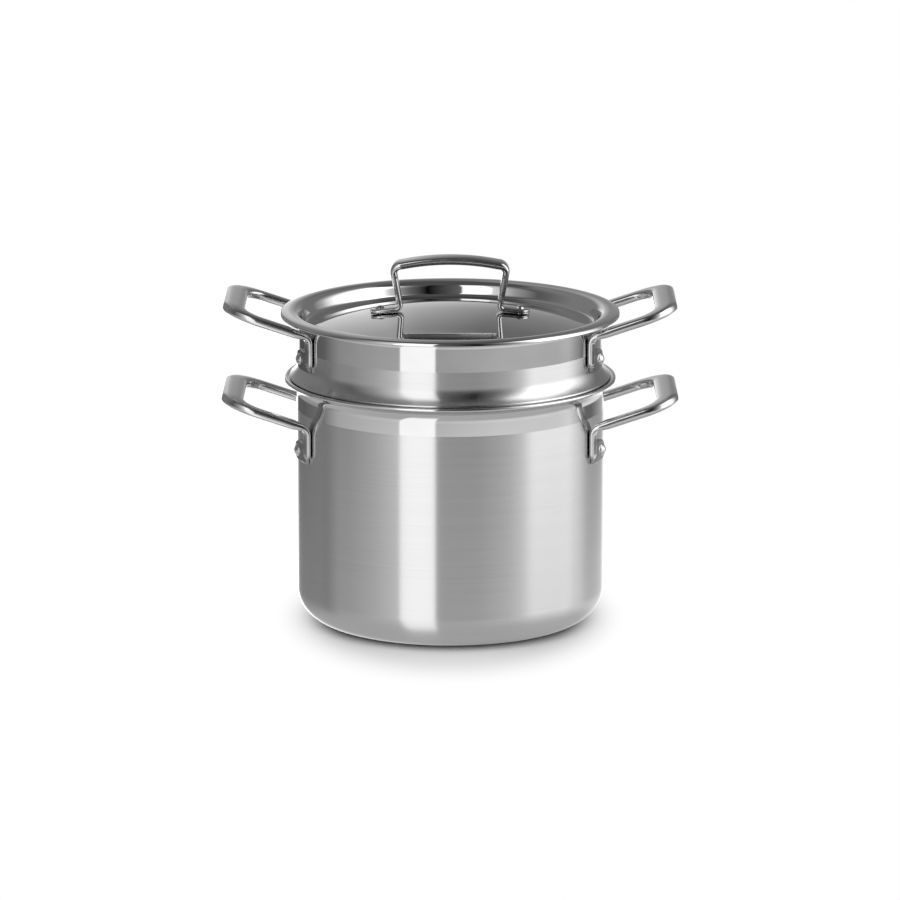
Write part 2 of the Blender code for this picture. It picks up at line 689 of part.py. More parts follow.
def build():
    """The whole assembly."""
    for item in list(bpy.data.objects):
        bpy.data.objects.remove(item)
    satin = steel("satin_steel", 0.62, 0.32)
    polished = steel("polished_steel", 0.68, 0.12)
    cast = steel("cast_steel", 0.6, 0.18)
    rivet = steel("rivet_steel", 0.66, 0.2)
    pot_body(satin)
    side_handles("pot", POT_RADIUS, POT_HANDLE_ROOT, cast)
    wall_rivets("pot", POT_RADIUS, POT_SHEET, POT_HANDLE_ROOT, rivet)
    strainer_insert(satin)
    side_handles("insert", COLLAR_RADIUS, INSERT_HANDLE_ROOT, cast)
    wall_rivets("insert", COLLAR_RADIUS, SHEET, INSERT_HANDLE_ROOT, rivet)
    lid_cover(polished)
    lid_handle(cast)
    lid_rivets(rivet)


build()
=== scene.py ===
# Looks of a pasta pot: a brushed steel pot and strainer insert, a polished lid and cast loop handles.
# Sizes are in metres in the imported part's frame: Z up, the base on z = 0, the side handles along X.

import math

import bmesh
import bpy
from mathutils import Matrix, Vector

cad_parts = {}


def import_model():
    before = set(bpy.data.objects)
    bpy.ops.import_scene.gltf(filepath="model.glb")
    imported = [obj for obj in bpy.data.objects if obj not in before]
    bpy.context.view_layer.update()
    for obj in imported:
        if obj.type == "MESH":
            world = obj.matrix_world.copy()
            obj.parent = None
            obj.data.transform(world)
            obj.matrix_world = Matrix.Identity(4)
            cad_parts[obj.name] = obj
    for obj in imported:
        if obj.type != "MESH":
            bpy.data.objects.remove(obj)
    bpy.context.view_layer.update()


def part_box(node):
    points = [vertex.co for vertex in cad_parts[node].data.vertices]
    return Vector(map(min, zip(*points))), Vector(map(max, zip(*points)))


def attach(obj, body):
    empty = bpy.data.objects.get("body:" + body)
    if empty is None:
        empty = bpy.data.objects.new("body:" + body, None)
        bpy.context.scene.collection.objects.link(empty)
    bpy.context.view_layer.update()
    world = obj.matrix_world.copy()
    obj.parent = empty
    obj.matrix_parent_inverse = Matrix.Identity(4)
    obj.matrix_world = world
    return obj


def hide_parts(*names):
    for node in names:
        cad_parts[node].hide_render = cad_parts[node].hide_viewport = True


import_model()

MM = 0.001
QUARTER = math.pi / 2

# Main sizes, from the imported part
LID_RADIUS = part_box("lid_cover")[1].x
FLANGE_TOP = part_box("lid_cover")[1].z
INSERT_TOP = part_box("strainer_insert")[1].z
BASKET_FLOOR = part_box("strainer_insert")[0].z

# Fineness
WELD = 0.001 * MM  # points this close are one
TURN_STEPS = 192  # facets round each turned shell
ARC_STEPS = 10  # facets in each rounded stretch of a profile
HOLE_SIDES = 16  # facets round a hole and points round its tile
HOLE_COLUMNS = 4 * TURN_STEPS // HOLE_SIDES
SECTION_POINTS = 24  # points round a handle bar
POT_CORNER_STEPS = 16
POT_LIP_STEPS = 12
EDGE_STEPS = 6  # facets in a sheet's rounded edge and a bar's round end
TAB_END_STEPS = 10
STRAIGHT_STEPS = 5  # facets along the straight stretch of a handle bar
RIVET_STEPS = 32  # facets round a rivet
RIVET_HEAD_STEPS = 8
HALVINGS = 40  # of a span, until a place in it is found
SMOOTH_EDGE = math.radians(40)
MITRE_LIMIT = 0.5  # no corner of a sheet is drawn out further than twice its thickness
WALL_MARGIN = 0.8 * MM  # a straight wall's shading is straight from this far past its bends

# Pot
GAP = 0.3 * MM
POT_RADIUS = 102.5 * MM
POT_SHEET = 2.5 * MM
POT_CORNER = 21.7 * MM
POT_WALL_TOP = 154.0 * MM
POT_LIP_BEND = 11.0 * MM
POT_LIP_SWEEP = math.radians(80)
POT_POLISH_FROM = 144.7 * MM  # the wall is mirror polished above this height

# Strainer insert
SHEET = 1.2 * MM
BASKET_RADIUS = 97.0 * MM
BASKET_CORNER = 14.0 * MM
SEAT_ANGLE = math.radians(65)
BEAD_BEND = 1.1 * MM
BEAD_END = math.radians(57)
COLLAR_STEP = 1.3 * MM
COLLAR_FLARE = 10.3 * MM
COLLAR_LIP_BEND = 5.2 * MM
COLLAR_LIP_SWEEP = math.radians(80)
COLLAR_POLISH_FROM = 186.9 * MM
HOLE_ROWS = 8
HOLE_RADIUS = 2.3 * MM
HOLE_BAND_LOW = 44.0 * MM  # heights of the perforated part of the wall
HOLE_BAND_HIGH = 142.0 * MM
FLOOR_HOLE_PITCH = 13.0 * MM
FLOOR_HOLE_REACH = 76.0 * MM  # no hole of the floor lies further from the axis
FLOOR_SPARE = 1.2  # the grid of holes is laid out this much wider, and then cut to a round
ROW_PITCH = math.sqrt(0.75)  # distance between the floor's rows of holes, in pitches
TILE_CORNER = 3 / 8  # of a turn, from a tile's first corner to its X axis
DRILL_DEPTH = 8 * SHEET

# Lid
LID_EDGE_DROP = 2.9 * MM
LID_EDGE_BEND = 2.4 * MM
LID_RECESS = 10.4 * MM
LID_SHOULDER = 6.7 * MM
LID_FLANGE_BEND = 14.0 * MM  # the flange is slightly domed
LID_DRAFT = math.radians(20)
LID_COVE = 3.5 * MM
LID_TROUGH = 5.0 * MM
LID_DOME_SPHERE = 393.0 * MM

# Side handles
HANDLE_SPREAD = 89.0 * MM
HANDLE_REACH = 49.0 * MM
HANDLE_SLOPE = math.radians(18.4)
HANDLE_LEG = 16.6 * MM
HANDLE_BEND = 5.6 * MM
HANDLE_DROOP = 55.0 * MM
HANDLE_LEVEL = 45.0 * MM
GRIP_OUTER_CORNER = 24.0 * MM  # rounding of the loop's outer corners
GRIP_INNER_CORNER = 13.0 * MM
LEG_WIDTH = 7.8 * MM
LEG_THICKNESS = 3.2 * MM
LEG_STATION = 0.7 * HANDLE_LEG  # height on the leg at which its section is set
ARM_WIDTH = 9.4 * MM
ARM_THICKNESS = 6.0 * MM
GRIP_WIDTH = 15.0 * MM
GRIP_THICKNESS = 7.2 * MM
TAB_THICKNESS = 2.4 * MM
TAB_EDGE = 0.3 * TAB_THICKNESS  # the tabs' edges are softened this far
TAB_HEIGHT = 13.8 * MM
TAB_RIVET = 30.0 * MM
TAB_DROP = 13.1 * MM
SECTION_POWER = 0.62  # 1 makes a bar's section an oval, 0 a box

# Lid handle
STRAP_HEIGHT = 36.4 * MM
STRAP_FOOT_SPAN = 66.6 * MM
STRAP_TOP_SPAN = 74.6 * MM
STRAP_ARCH = 3.2 * MM
STRAP_CORNER = 5.0 * MM
STRAP_FOOT_BEND = 3.0 * MM
STRAP_FOOT_FLAT = 2.0 * MM
STRAP_TAB_REACH = 53.0 * MM
STRAP_TOP_WIDTH = 16.5 * MM
STRAP_TOP_THICKNESS = 5.8 * MM
STRAP_LEG_WIDTH = 12.0 * MM
STRAP_LEG_THICKNESS = 4.2 * MM
STRAP_TAB_WIDTH = 11.5 * MM
STRAP_TAB_THICKNESS = 3.2 * MM
STRAP_RIVET = 46.2 * MM
STRAP_WIDENING = 0.4  # share of the leg's widening that lies below the strap's corner

# Rivets
RIVET_HEAD = 4.2 * MM
RIVET_HEAD_HEIGHT = 2.4 * MM
RIVET_SHANK = 2.4 * MM
RIVET_FOOT = 5.0 * MM
RIVET_FOOT_HEIGHT = 1.1 * MM
RIVET_FOOT_FLAT = 0.9  # share of the foot's radius inside its bevel
RIVET_FOOT_BEVEL = 0.25  # share of the foot's height that the bevel takes
LID_RIVET_SCALE = 0.76

# What follows from these
POT_INNER = POT_RADIUS - POT_SHEET
LIP_CENTRE = POT_INNER + POT_LIP_BEND
SEAT_BEND = POT_LIP_BEND + GAP
SEAT_RADIUS = LIP_CENTRE - SEAT_BEND * math.cos(SEAT_ANGLE)
SEAT_HEIGHT = POT_WALL_TOP + SEAT_BEND * math.sin(SEAT_ANGLE)
COLLAR_FOOT = SEAT_HEIGHT + BEAD_BEND + COLLAR_FLARE
COLLAR_RADIUS = POT_RADIUS - COLLAR_STEP
COLLAR_INNER = COLLAR_RADIUS - SHEET
NEST_RADIUS = COLLAR_INNER + COLLAR_LIP_BEND
NEST_HEIGHT = INSERT_TOP - COLLAR_LIP_BEND * math.sin(COLLAR_LIP_SWEEP)
TROUGH_TOP = FLANGE_TOP - LID_RECESS
POT_HANDLE_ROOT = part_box("pot_handle_right")[0].z + TAB_DROP + TAB_HEIGHT / 2
INSERT_HANDLE_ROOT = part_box("insert_handle_right")[0].z + TAB_DROP + TAB_HEIGHT / 2
TILE_WIDTH = math.tau * BASKET_RADIUS / HOLE_COLUMNS
TILE_HEIGHT = (HOLE_BAND_HIGH - HOLE_BAND_LOW) / HOLE_ROWS


def recess_radius(away, height):
    """Radius of a point at a height, and that far from the insert's lip centre across the recess wall."""
    return NEST_RADIUS - (away - (height - NEST_HEIGHT) * math.sin(LID_DRAFT)) / math.cos(LID_DRAFT)


LID_SEAT = COLLAR_LIP_BEND + GAP + SHEET
SHOULDER_RADIUS = recess_radius(LID_SEAT - LID_SHOULDER, FLANGE_TOP - LID_SHOULDER)
EDGE_RADIUS = LID_RADIUS - LID_EDGE_BEND
FLANGE_SPAN = EDGE_RADIUS - SHOULDER_RADIUS
FLANGE_TURN = math.asin(FLANGE_SPAN / (2 * LID_FLANGE_BEND - LID_SHOULDER - LID_EDGE_BEND))
COVE_RADIUS = recess_radius(LID_SEAT + LID_COVE, TROUGH_TOP + LID_COVE)
TROUGH_RADIUS = COVE_RADIUS - LID_TROUGH
LID_CROWN = TROUGH_TOP + TROUGH_RADIUS ** 2 / (2 * LID_DOME_SPHERE)
STRAP_MIDDLE = LID_CROWN + STRAP_HEIGHT - STRAP_TOP_THICKNESS / 2
STRAP_FALL = math.asin(STRAP_RIVET / LID_DOME_SPHERE)  # the dome's fall at the lid handle's rivets


# Nodes

def add_node(tree, kind, inputs=None, **settings):
    """A node with its settings, each input linked to a socket or a node's first output, or set to a value."""
    made = tree.nodes.new(kind)
    for setting, value in settings.items():
        setattr(made, setting, value)
    for key, value in (inputs or {}).items():
        if isinstance(value, bpy.types.Node):
            value = value.outputs[0]
        if isinstance(value, bpy.types.NodeSocket):
            tree.links.new(value, made.inputs[key])
        else:
            made.inputs[key].default_value = value
    return made


def calculate(tree, operation, *values):
    """The result of a maths node."""
    return add_node(tree, "ShaderNodeMath", dict(enumerate(values)), operation=operation).outputs[0]


def product(tree, first, second):
    """The product of two numbers."""
    return calculate(tree, "MULTIPLY", first, second)


def calculate_length(tree, place):
    """The length of a vector."""
    return add_node(tree, "ShaderNodeVectorMath", {0: place}, operation="LENGTH").outputs["Value"]


def axis_distance(tree, place):
    """A place's distance from the Z axis."""
    flat = add_node(tree, "ShaderNodeVectorMath", {0: place, 1: (1.0, 1.0, 0.0)}, operation="MULTIPLY")
    return calculate_length(tree, flat)


def rows_and_columns(tree, index, side):
    """The row and the column of a point in rows of that many points."""
    row = calculate(tree, "FLOOR", calculate(tree, "DIVIDE", index, side))
    return row, calculate(tree, "MODULO", index, side)


def staggered(tree, row, column):
    """The column, half a step further in every other row."""
    shift = product(tree, calculate(tree, "FLOORED_MODULO", row, 2.0), 0.5)
    return calculate(tree, "ADD", column, shift)


def copies(tree, points, item, **inputs):
    """Real copies of an item on points."""
    inputs.update(Points=points, Instance=item)
    placed = add_node(tree, "GeometryNodeInstanceOnPoints", inputs)
    return add_node(tree, "GeometryNodeRealizeInstances", {0: placed})


def step_between(tree, value, limits):
    """A smooth step from 0 to 1 between two limits."""
    return add_node(
        tree, "ShaderNodeMapRange", {"Value": value, "From Min": limits[0], "From Max": limits[1]},
        interpolation_type="SMOOTHSTEP",
    ).outputs[0]


def mixed_light(tree, share, first, second):
    """A brightness between two, by a share."""
    return add_node(tree, "ShaderNodeMix", {"Factor": share, "A": first, "B": second}).outputs[0]


def shape_tree(name, **kinds):
    """A geometry node tree with inputs of these kinds and names: the tree, what it is given, and its end."""
    tree = bpy.data.node_groups.new(name, "GeometryNodeTree")
    for kind, labels in {"Geometry": ["Geometry"], **kinds}.items():
        for label in labels:
            tree.interface.new_socket(label, in_out="INPUT", socket_type="NodeSocket" + kind)
    tree.interface.new_socket("Geometry", in_out="OUTPUT", socket_type="NodeSocketGeometry")
    return tree, tree.nodes.new("NodeGroupInput").outputs, tree.nodes.new("NodeGroupOutput").inputs[0]


def grown(item, tree, values):
    """The plain mesh that a geometry node tree makes of an object, which is then removed."""
    step = item.modifiers.new(tree.name, "NODES")
    step.node_group = tree
    for socket in tree.interface.items_tree:
        if socket.in_out == "INPUT" and socket.name in values:
            step[socket.identifier] = values[socket.name]
    view = bpy.context.evaluated_depsgraph_get()
    mesh = bpy.data.meshes.new_from_object(item.evaluated_get(view))
    bpy.data.objects.remove(item)
    return mesh


# Meshes

def arc(centre, radius, start, end, steps=ARC_STEPS):
    """Points of an arc in the (r, z) plane, with angles counted from the r axis."""
    turns = [start + (end - start) * step / steps for step in range(steps + 1)]
    return [(centre[0] + radius * math.cos(turn), centre[1] + radius * math.sin(turn)) for turn in turns]


def offset_line(line, distance):
    """The line moved sideways to its left by a distance, along the normals at its points."""
    moved = []
    for index, (r, z) in enumerate(line):
        before = line[max(index - 1, 0)]
        after = line[min(index + 1, len(line) - 1)]
        into = Vector((r - before[0], z - before[1]))
        out = Vector((after[0] - r, after[1] - z))
        into = (into if into.length else out).normalized()
        out = (out if out.length else into).normalized()
        normal = Vector((-into.y - out.y, into.x + out.x)).normalized()
        mitre = distance / max(normal.dot(Vector((-out.y, out.x))), MITRE_LIMIT)
        moved.append((r + normal.x * mitre, z + normal.y * mitre))
    return moved


def rim_arc(end, far):
    """Points of the half circle that rounds a sheet's edge, from one side to the other."""
    middle = (Vector(end) + Vector(far)) / 2
    spoke = Vector(end) - middle
    start = math.atan2(spoke.y, spoke.x)
    return arc(middle, spoke.length, start, start + math.pi, EDGE_STEPS)[1:-1]


def sheet_profile(line, thickness):
    """The closed section of a bent sheet: the line is its lower or outer side, from the axis outwards."""
    other = offset_line(line, thickness)
    other[0] = (0.0, line[0][1] + thickness)
    return line + rim_arc(line[-1], other[-1]) + other[::-1]


def loose_object(name, mesh):
    """An object in the scene."""
    item = bpy.data.objects.new(name, mesh)
    bpy.context.scene.collection.objects.link(item)
    return item


def points_object(name, places):
    """An object whose vertices are these places, in order."""
    mesh = bpy.data.meshes.new(name)
    mesh.from_pydata(places, [], [])
    return loose_object(name, mesh)


def turning_tree():
    """Turns the points of a profile about Z, with a second material above a height and beyond a radius."""
    tree, given, end = shape_tree(
        "turned_sheet", Int=["Steps"], Material=["Metal", "Polish"], Float=["Polish From", "Polish Beyond"]
    )
    size = add_node(tree, "GeometryNodeAttributeDomainSize", {0: given["Geometry"]})
    count = size.outputs["Point Count"]
    columns = calculate(tree, "ADD", given["Steps"], 1.0)
    grid = add_node(tree, "GeometryNodeMeshGrid", {"Vertices X": columns, "Vertices Y": count})
    index = tree.nodes.new("GeometryNodeInputIndex")
    column, along = rows_and_columns(tree, index, count)
    place = tree.nodes.new("GeometryNodeInputPosition")
    sampled = add_node(
        tree, "GeometryNodeSampleIndex", {0: given["Geometry"], 1: place, 2: along},
        data_type="FLOAT_VECTOR",
    )
    angle = calculate(tree, "DIVIDE", product(tree, column, math.tau), given["Steps"])
    turned = add_node(
        tree, "ShaderNodeVectorRotate", {"Vector": sampled, "Angle": angle}, rotation_type="Z_AXIS"
    )
    moved = add_node(tree, "GeometryNodeSetPosition", {0: grid.outputs["Mesh"], "Position": turned})
    welded = add_node(tree, "GeometryNodeMergeByDistance", {0: moved, "Distance": WELD})
    height = add_node(tree, "ShaderNodeSeparateXYZ", {0: place}).outputs["Z"]
    above = calculate(tree, "GREATER_THAN", height, given["Polish From"])
    beyond = calculate(tree, "GREATER_THAN", axis_distance(tree, place), given["Polish Beyond"])
    polished = product(tree, above, beyond)
    smooth = add_node(tree, "GeometryNodeSetShadeSmooth", {0: welded})
    plain = add_node(tree, "GeometryNodeSetMaterial", {0: smooth, "Material": given["Metal"]})
    done = add_node(
        tree, "GeometryNodeSetMaterial",
        {0: plain, "Selection": polished, "Material": given["Polish"]},
    )
    tree.links.new(done.outputs[0], end)
    return tree


def turned_mesh(name, profile, metal, polish=None, polish_from=1.0, polish_beyond=1.0, steps=TURN_STEPS):
    """A shell turned from a profile, in metal, and polished above a height and beyond a radius."""
    values = {"Steps": steps, "Metal": metal, "Polish": polish or metal}
    values.update({"Polish From": polish_from, "Polish Beyond": polish_beyond})
    mesh = grown(points_object(name, [(r, 0.0, z) for r, z in profile]), TURNING, values)
    mesh.name = name
    return mesh


def loft(shape, rings, capped=True):
    """A skin over rings of points, closed at both ends where it is capped."""
    loops = [[shape.verts.new(point) for point in ring] for ring in rings]
    for first, second in zip(loops, loops[1:]):
        for index in range(len(first)):
            following = (index + 1) % len(first)
            shape.faces.new((first[index], first[following], second[following], second[index]))
    if capped:
        shape.faces.new(loops[0])
        shape.faces.new(loops[-1])


def finish_mesh(name, shape, material):
    """A smooth mesh from a bmesh, with its faces pointing out and its hard edges kept."""
    bmesh.ops.recalc_face_normals(shape, faces=shape.faces)
    mesh = bpy.data.meshes.new(name)
    shape.to_mesh(mesh)
    shape.free()
    mesh.materials.append(material)
    mesh.shade_smooth()
    mesh.set_sharp_from_angle(angle=SMOOTH_EDGE)
    return mesh


def piece(name, mesh, body, slot, *nodes):
    """A finished piece that rides on a body and stands for its CAD nodes."""
    item = loose_object(name, mesh)
    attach(item, body)
    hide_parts(*nodes)


# Finishes

# Noises: how finely each is spread along X, Y and Z, and how much detail it has
GROOVES = (5.0, 5.0, 1700.0), 2.0
STREAKS = (8.0, 8.0, 300.0), 3.0
CLOUDS = (35.0, 35.0, 60.0), 3.0
HAIRLINES = (30.0, 30.0, 1500.0), 2.0
WAVES = (160.0, 160.0, 160.0), 2.0
GRAIN = (1400.0, 1400.0, 1400.0), 2.0
NOISE_RANGE = {"From Min": 0.3, "From Max": 0.7}  # a noise seldom leaves this range
GROOVE_TURN = 0.25  # of a turn: the grooves run round the axis


def noise(tree, place, kind):
    """One of the noises at a place."""
    stretch, detail = kind
    spread = add_node(tree, "ShaderNodeMapping", {"Vector": place, "Scale": stretch})
    inputs = {"Vector": spread, "Scale": 1.0, "Detail": detail}
    return add_node(tree, "ShaderNodeTexNoise", inputs).outputs["Fac"]


def plain_material(name, values):
    """A material, its tree and its shader, with the shader's inputs set to values."""
    material = bpy.data.materials.new(name)
    material.use_nodes = True
    shader = material.node_tree.nodes["Principled BSDF"]
    for label, value in values.items():
        shader.inputs[label].default_value = value
    return material, material.node_tree, shader


def steel(name, shade, roughness, tint, wear, relief, anisotropy=0.0):
    """Bare stainless steel. Its tint and wear are a noise with its low and high share of the shade and of the
    roughness, and its relief is a noise with a strength and a depth."""
    material, tree, shader = plain_material(name, {
        "Metallic": 1.0, "Base Color": (shade, shade, shade, 1.0), "Roughness": roughness,
        "Anisotropic": anisotropy, "Anisotropic Rotation": GROOVE_TURN,
    })
    place = tree.nodes.new("ShaderNodeTexCoord").outputs["Object"]
    for label, whole, (kind, low, high) in (("Roughness", roughness, wear), ("Base Color", shade, tint)):
        inputs = {"Value": noise(tree, place, kind), "To Min": whole * low, "To Max": whole * high}
        varied = add_node(tree, "ShaderNodeMapRange", {**inputs, **NOISE_RANGE})
        tree.links.new(varied.outputs[0], shader.inputs[label])
    kind, strength, depth = relief
    height = noise(tree, place, kind)
    made = add_node(tree, "ShaderNodeBump", {"Height": height, "Strength": strength, "Distance": depth})
    tree.links.new(made.outputs[0], shader.inputs["Normal"])
    return material


# Satin steel turned on a lathe, with fine grooves round the axis
BRUSHED = (GROOVES, 0.984, 1.016), (STREAKS, 0.955, 1.045), (GROOVES, 0.05, 0.01 * MM)
# Buffed steel, with the faint cloudiness that a buffing wheel leaves
BUFFED = (CLOUDS, 0.97, 1.03), (CLOUDS, 0.8, 1.25), (HAIRLINES, 0.03, 0.01 * MM)
# A polished casting, with the soft waviness of a tumbled surface
CAST = (GRAIN, 0.95, 1.04), (WAVES, 0.75, 1.3), (WAVES, 0.08, 0.3 * MM)

TURNING = turning_tree()
SATIN = steel("lathe_brushed_steel", 0.62, 0.22, *BRUSHED, anisotropy=1.0)
BAND = steel("polished_band_steel", 0.65, 0.06, *BUFFED)
LID_STEEL = steel("polished_lid_steel", 0.66, 0.05, *BUFFED)
CASTING = steel("cast_handle_steel", 0.6, 0.13, *CAST)
RIVET = steel("rivet_steel", 0.66, 0.16, *CAST)


# Pot

def pot_profile():
    """Floor, corner, wall with its polished band, and flared pouring lip."""
    line = [(0.0, 0.0)]
    line += arc((POT_RADIUS - POT_CORNER, POT_CORNER), POT_CORNER, -QUARTER, 0.0, POT_CORNER_STEPS)
    heights = (POT_CORNER + WALL_MARGIN, POT_POLISH_FROM, POT_WALL_TOP - WALL_MARGIN)
    line += [(POT_RADIUS, height) for height in heights]
    lip = (LIP_CENTRE, POT_WALL_TOP)
    line += arc(lip, POT_LIP_BEND - POT_SHEET, math.pi, math.pi - POT_LIP_SWEEP, POT_LIP_STEPS)
    return sheet_profile(line, POT_SHEET)


def pot_shell():
    skin = POT_RADIUS - POT_SHEET / 2
    mesh = turned_mesh("pot_shell", pot_profile(), SATIN, BAND, POT_POLISH_FROM, skin)
    piece("pot_shell", mesh, "pot", "satin_steel", "pot_body")


# Strainer insert

def collar_line():
    """From the seat on the pot's lip, round the folded bead and up the collar to the insert's lip."""
    bead = (SEAT_RADIUS - BEAD_BEND * math.cos(SEAT_ANGLE), SEAT_HEIGHT + BEAD_BEND * math.sin(SEAT_ANGLE))
    line = arc(bead, BEAD_BEND, -SEAT_ANGLE, BEAD_END)
    end = line[-1]
    rise = COLLAR_FOOT - end[1]
    step_in = end[0] - COLLAR_RADIUS
    sweep = (step_in * step_in + rise * rise) / (2 * step_in)
    turn = math.asin(rise / sweep)
    line += arc((COLLAR_RADIUS + sweep, COLLAR_FOOT), sweep, math.pi + turn, math.pi)[1:]
    heights = (COLLAR_FOOT + WALL_MARGIN, COLLAR_POLISH_FROM, NEST_HEIGHT - WALL_MARGIN)
    line += [(COLLAR_RADIUS, height) for height in heights]
    lip = (NEST_RADIUS, NEST_HEIGHT)
    return line + arc(lip, COLLAR_LIP_BEND - SHEET, math.pi, math.pi - COLLAR_LIP_SWEEP)


def insert_profile():
    """Basket, a flank that closes on the pot's lip, bead, collar and lip."""
    corner = (BASKET_RADIUS - BASKET_CORNER, BASKET_FLOOR + BASKET_CORNER)
    line = [(0.0, BASKET_FLOOR)]
    line += arc(corner, BASKET_CORNER, -QUARTER, 0.0)
    line += [(BASKET_RADIUS, HOLE_BAND_LOW), (BASKET_RADIUS, HOLE_BAND_HIGH)]
    flank = LIP_CENTRE - BASKET_RADIUS
    for step in range(ARC_STEPS):
        share = step / ARC_STEPS
        reach = flank + (SEAT_BEND - flank) * share
        angle = SEAT_ANGLE * share
        line.append((LIP_CENTRE - reach * math.cos(angle), POT_WALL_TOP + reach * math.sin(angle)))
    line += collar_line()
    return sheet_profile(line, SHEET)


def hole_tile():
    """A rectangle of sheet with a hole in its middle: X runs round the wall, Y up and Z out of it."""
    quarter = HOLE_SIDES // 4
    steps = [step / quarter - 0.5 for step in range(quarter)]
    outline = [(step, -0.5) for step in steps] + [(0.5, step) for step in steps]
    outline += [(-step, 0.5) for step in steps] + [(-0.5, -step) for step in steps]
    edge = [Vector((x * TILE_WIDTH, y * TILE_HEIGHT, 0.0)) for x, y in outline]
    turns = [math.tau * (index / HOLE_SIDES - TILE_CORNER) for index in range(HOLE_SIDES)]
    hole = [Vector((HOLE_RADIUS * math.cos(turn), HOLE_RADIUS * math.sin(turn), 0.0)) for turn in turns]
    back = Vector((0.0, 0.0, -SHEET))
    shape = bmesh.new()
    rings = [edge, hole, [point + back for point in hole], [point + back for point in edge]]
    loft(shape, rings, capped=False)
    mesh = bpy.data.meshes.new("hole_tile")
    shape.to_mesh(mesh)
    shape.free()
    return mesh


def wall_tiles(tree, given, index):
    """Tiles in staggered rows, wrapped round the basket."""
    count = product(tree, given["Columns"], given["Rows"])
    points = add_node(tree, "GeometryNodeMeshLine", {"Count": count})
    row, column = rows_and_columns(tree, index, given["Columns"])
    across = product(tree, staggered(tree, row, column), given["Width"])
    up = product(tree, calculate(tree, "ADD", row, 0.5), given["Height"])
    spot = add_node(
        tree, "ShaderNodeCombineXYZ", {"X": across, "Y": calculate(tree, "ADD", up, given["Low"])}
    )
    spread = add_node(tree, "GeometryNodeSetPosition", {0: points, "Position": spot})
    flat = copies(tree, spread, given["Geometry"])
    place = tree.nodes.new("GeometryNodeInputPosition")
    parts = add_node(tree, "ShaderNodeSeparateXYZ", {0: place}).outputs
    reach = calculate(tree, "ADD", given["Radius"], parts["Z"])
    upright = add_node(tree, "ShaderNodeCombineXYZ", {"X": reach, "Z": parts["Y"]})
    angle = calculate(tree, "DIVIDE", parts["X"], given["Radius"])
    wrapped = add_node(
        tree, "ShaderNodeVectorRotate", {"Vector": upright, "Angle": angle}, rotation_type="Z_AXIS"
    )
    return add_node(tree, "GeometryNodeSetPosition", {0: flat, "Position": wrapped})


def drilled_floor(tree, given, index, shell):
    """The shell with a triangular grid of holes through its floor."""
    reach = given["Floor Reach"]
    pitch = given["Floor Pitch"]
    half = calculate(tree, "CEIL", calculate(tree, "DIVIDE", product(tree, reach, FLOOR_SPARE), pitch))
    side = calculate(tree, "MULTIPLY_ADD", half, 2.0, 1.0)
    points = add_node(tree, "GeometryNodeMeshLine", {"Count": product(tree, side, side)})
    row, column = (calculate(tree, "SUBTRACT", part, half) for part in rows_and_columns(tree, index, side))
    across = product(tree, staggered(tree, row, column), pitch)
    along = product(tree, product(tree, row, pitch), ROW_PITCH)
    spot = add_node(tree, "ShaderNodeCombineXYZ", {"X": across, "Y": along, "Z": given["Floor"]})
    spread = add_node(tree, "GeometryNodeSetPosition", {0: points, "Position": spot})
    place = tree.nodes.new("GeometryNodeInputPosition")
    near = calculate(tree, "LESS_THAN", axis_distance(tree, place), reach)
    drill = add_node(
        tree, "GeometryNodeMeshCylinder",
        {"Vertices": HOLE_SIDES, "Radius": given["Hole"], "Depth": DRILL_DEPTH},
    )
    solid = copies(tree, spread, drill, Selection=near)
    return add_node(
        tree, "GeometryNodeMeshBoolean", {0: shell, 1: solid}, operation="DIFFERENCE", solver="EXACT"
    )


def perforating_tree():
    """Drills the floor of a basket and welds rows of hole tiles into its wall in place of the plain sheet."""
    sizes = ["Width", "Height", "Radius", "Low", "High", "Hole", "Floor", "Floor Pitch", "Floor Reach"]
    tree, given, end = shape_tree("perforated_basket", Object=["Shell"], Int=["Columns", "Rows"], Float=sizes)
    index = tree.nodes.new("GeometryNodeInputIndex")
    place = tree.nodes.new("GeometryNodeInputPosition")
    shell = add_node(tree, "GeometryNodeObjectInfo", {"Object": given["Shell"]}).outputs["Geometry"]
    height = add_node(tree, "ShaderNodeSeparateXYZ", {0: place}).outputs["Z"]
    above = calculate(tree, "GREATER_THAN", height, given["Low"])
    below = calculate(tree, "LESS_THAN", height, given["High"])
    drilled = drilled_floor(tree, given, index, shell)
    open_shell = add_node(
        tree, "GeometryNodeDeleteGeometry",
        {0: drilled, "Selection": product(tree, above, below)}, domain="FACE",
    )
    joined = add_node(tree, "GeometryNodeJoinGeometry", {0: open_shell})
    tree.links.new(wall_tiles(tree, given, index).outputs[0], joined.inputs[0])
    welded = add_node(tree, "GeometryNodeMergeByDistance", {0: joined, "Distance": WELD})
    solid = add_node(tree, "GeometryNodeRealizeInstances", {0: welded})
    tree.links.new(solid.outputs[0], end)
    return tree


def perforated(mesh):
    """The basket's mesh with its holes."""
    shell = loose_object("plain_shell", mesh)
    values = {
        "Shell": shell, "Columns": HOLE_COLUMNS, "Rows": HOLE_ROWS,
        "Width": TILE_WIDTH, "Height": TILE_HEIGHT, "Radius": BASKET_RADIUS,
        "Low": HOLE_BAND_LOW, "High": HOLE_BAND_HIGH, "Hole": HOLE_RADIUS,
        "Floor": BASKET_FLOOR, "Floor Pitch": FLOOR_HOLE_PITCH, "Floor Reach": FLOOR_HOLE_REACH,
    }
    tile = hole_tile()
    tile.materials.append(SATIN)
    made = grown(loose_object("hole_tile", tile), perforating_tree(), values)
    bpy.data.objects.remove(shell)
    made.shade_smooth()
    made.set_sharp_from_angle(angle=SMOOTH_EDGE)
    return made


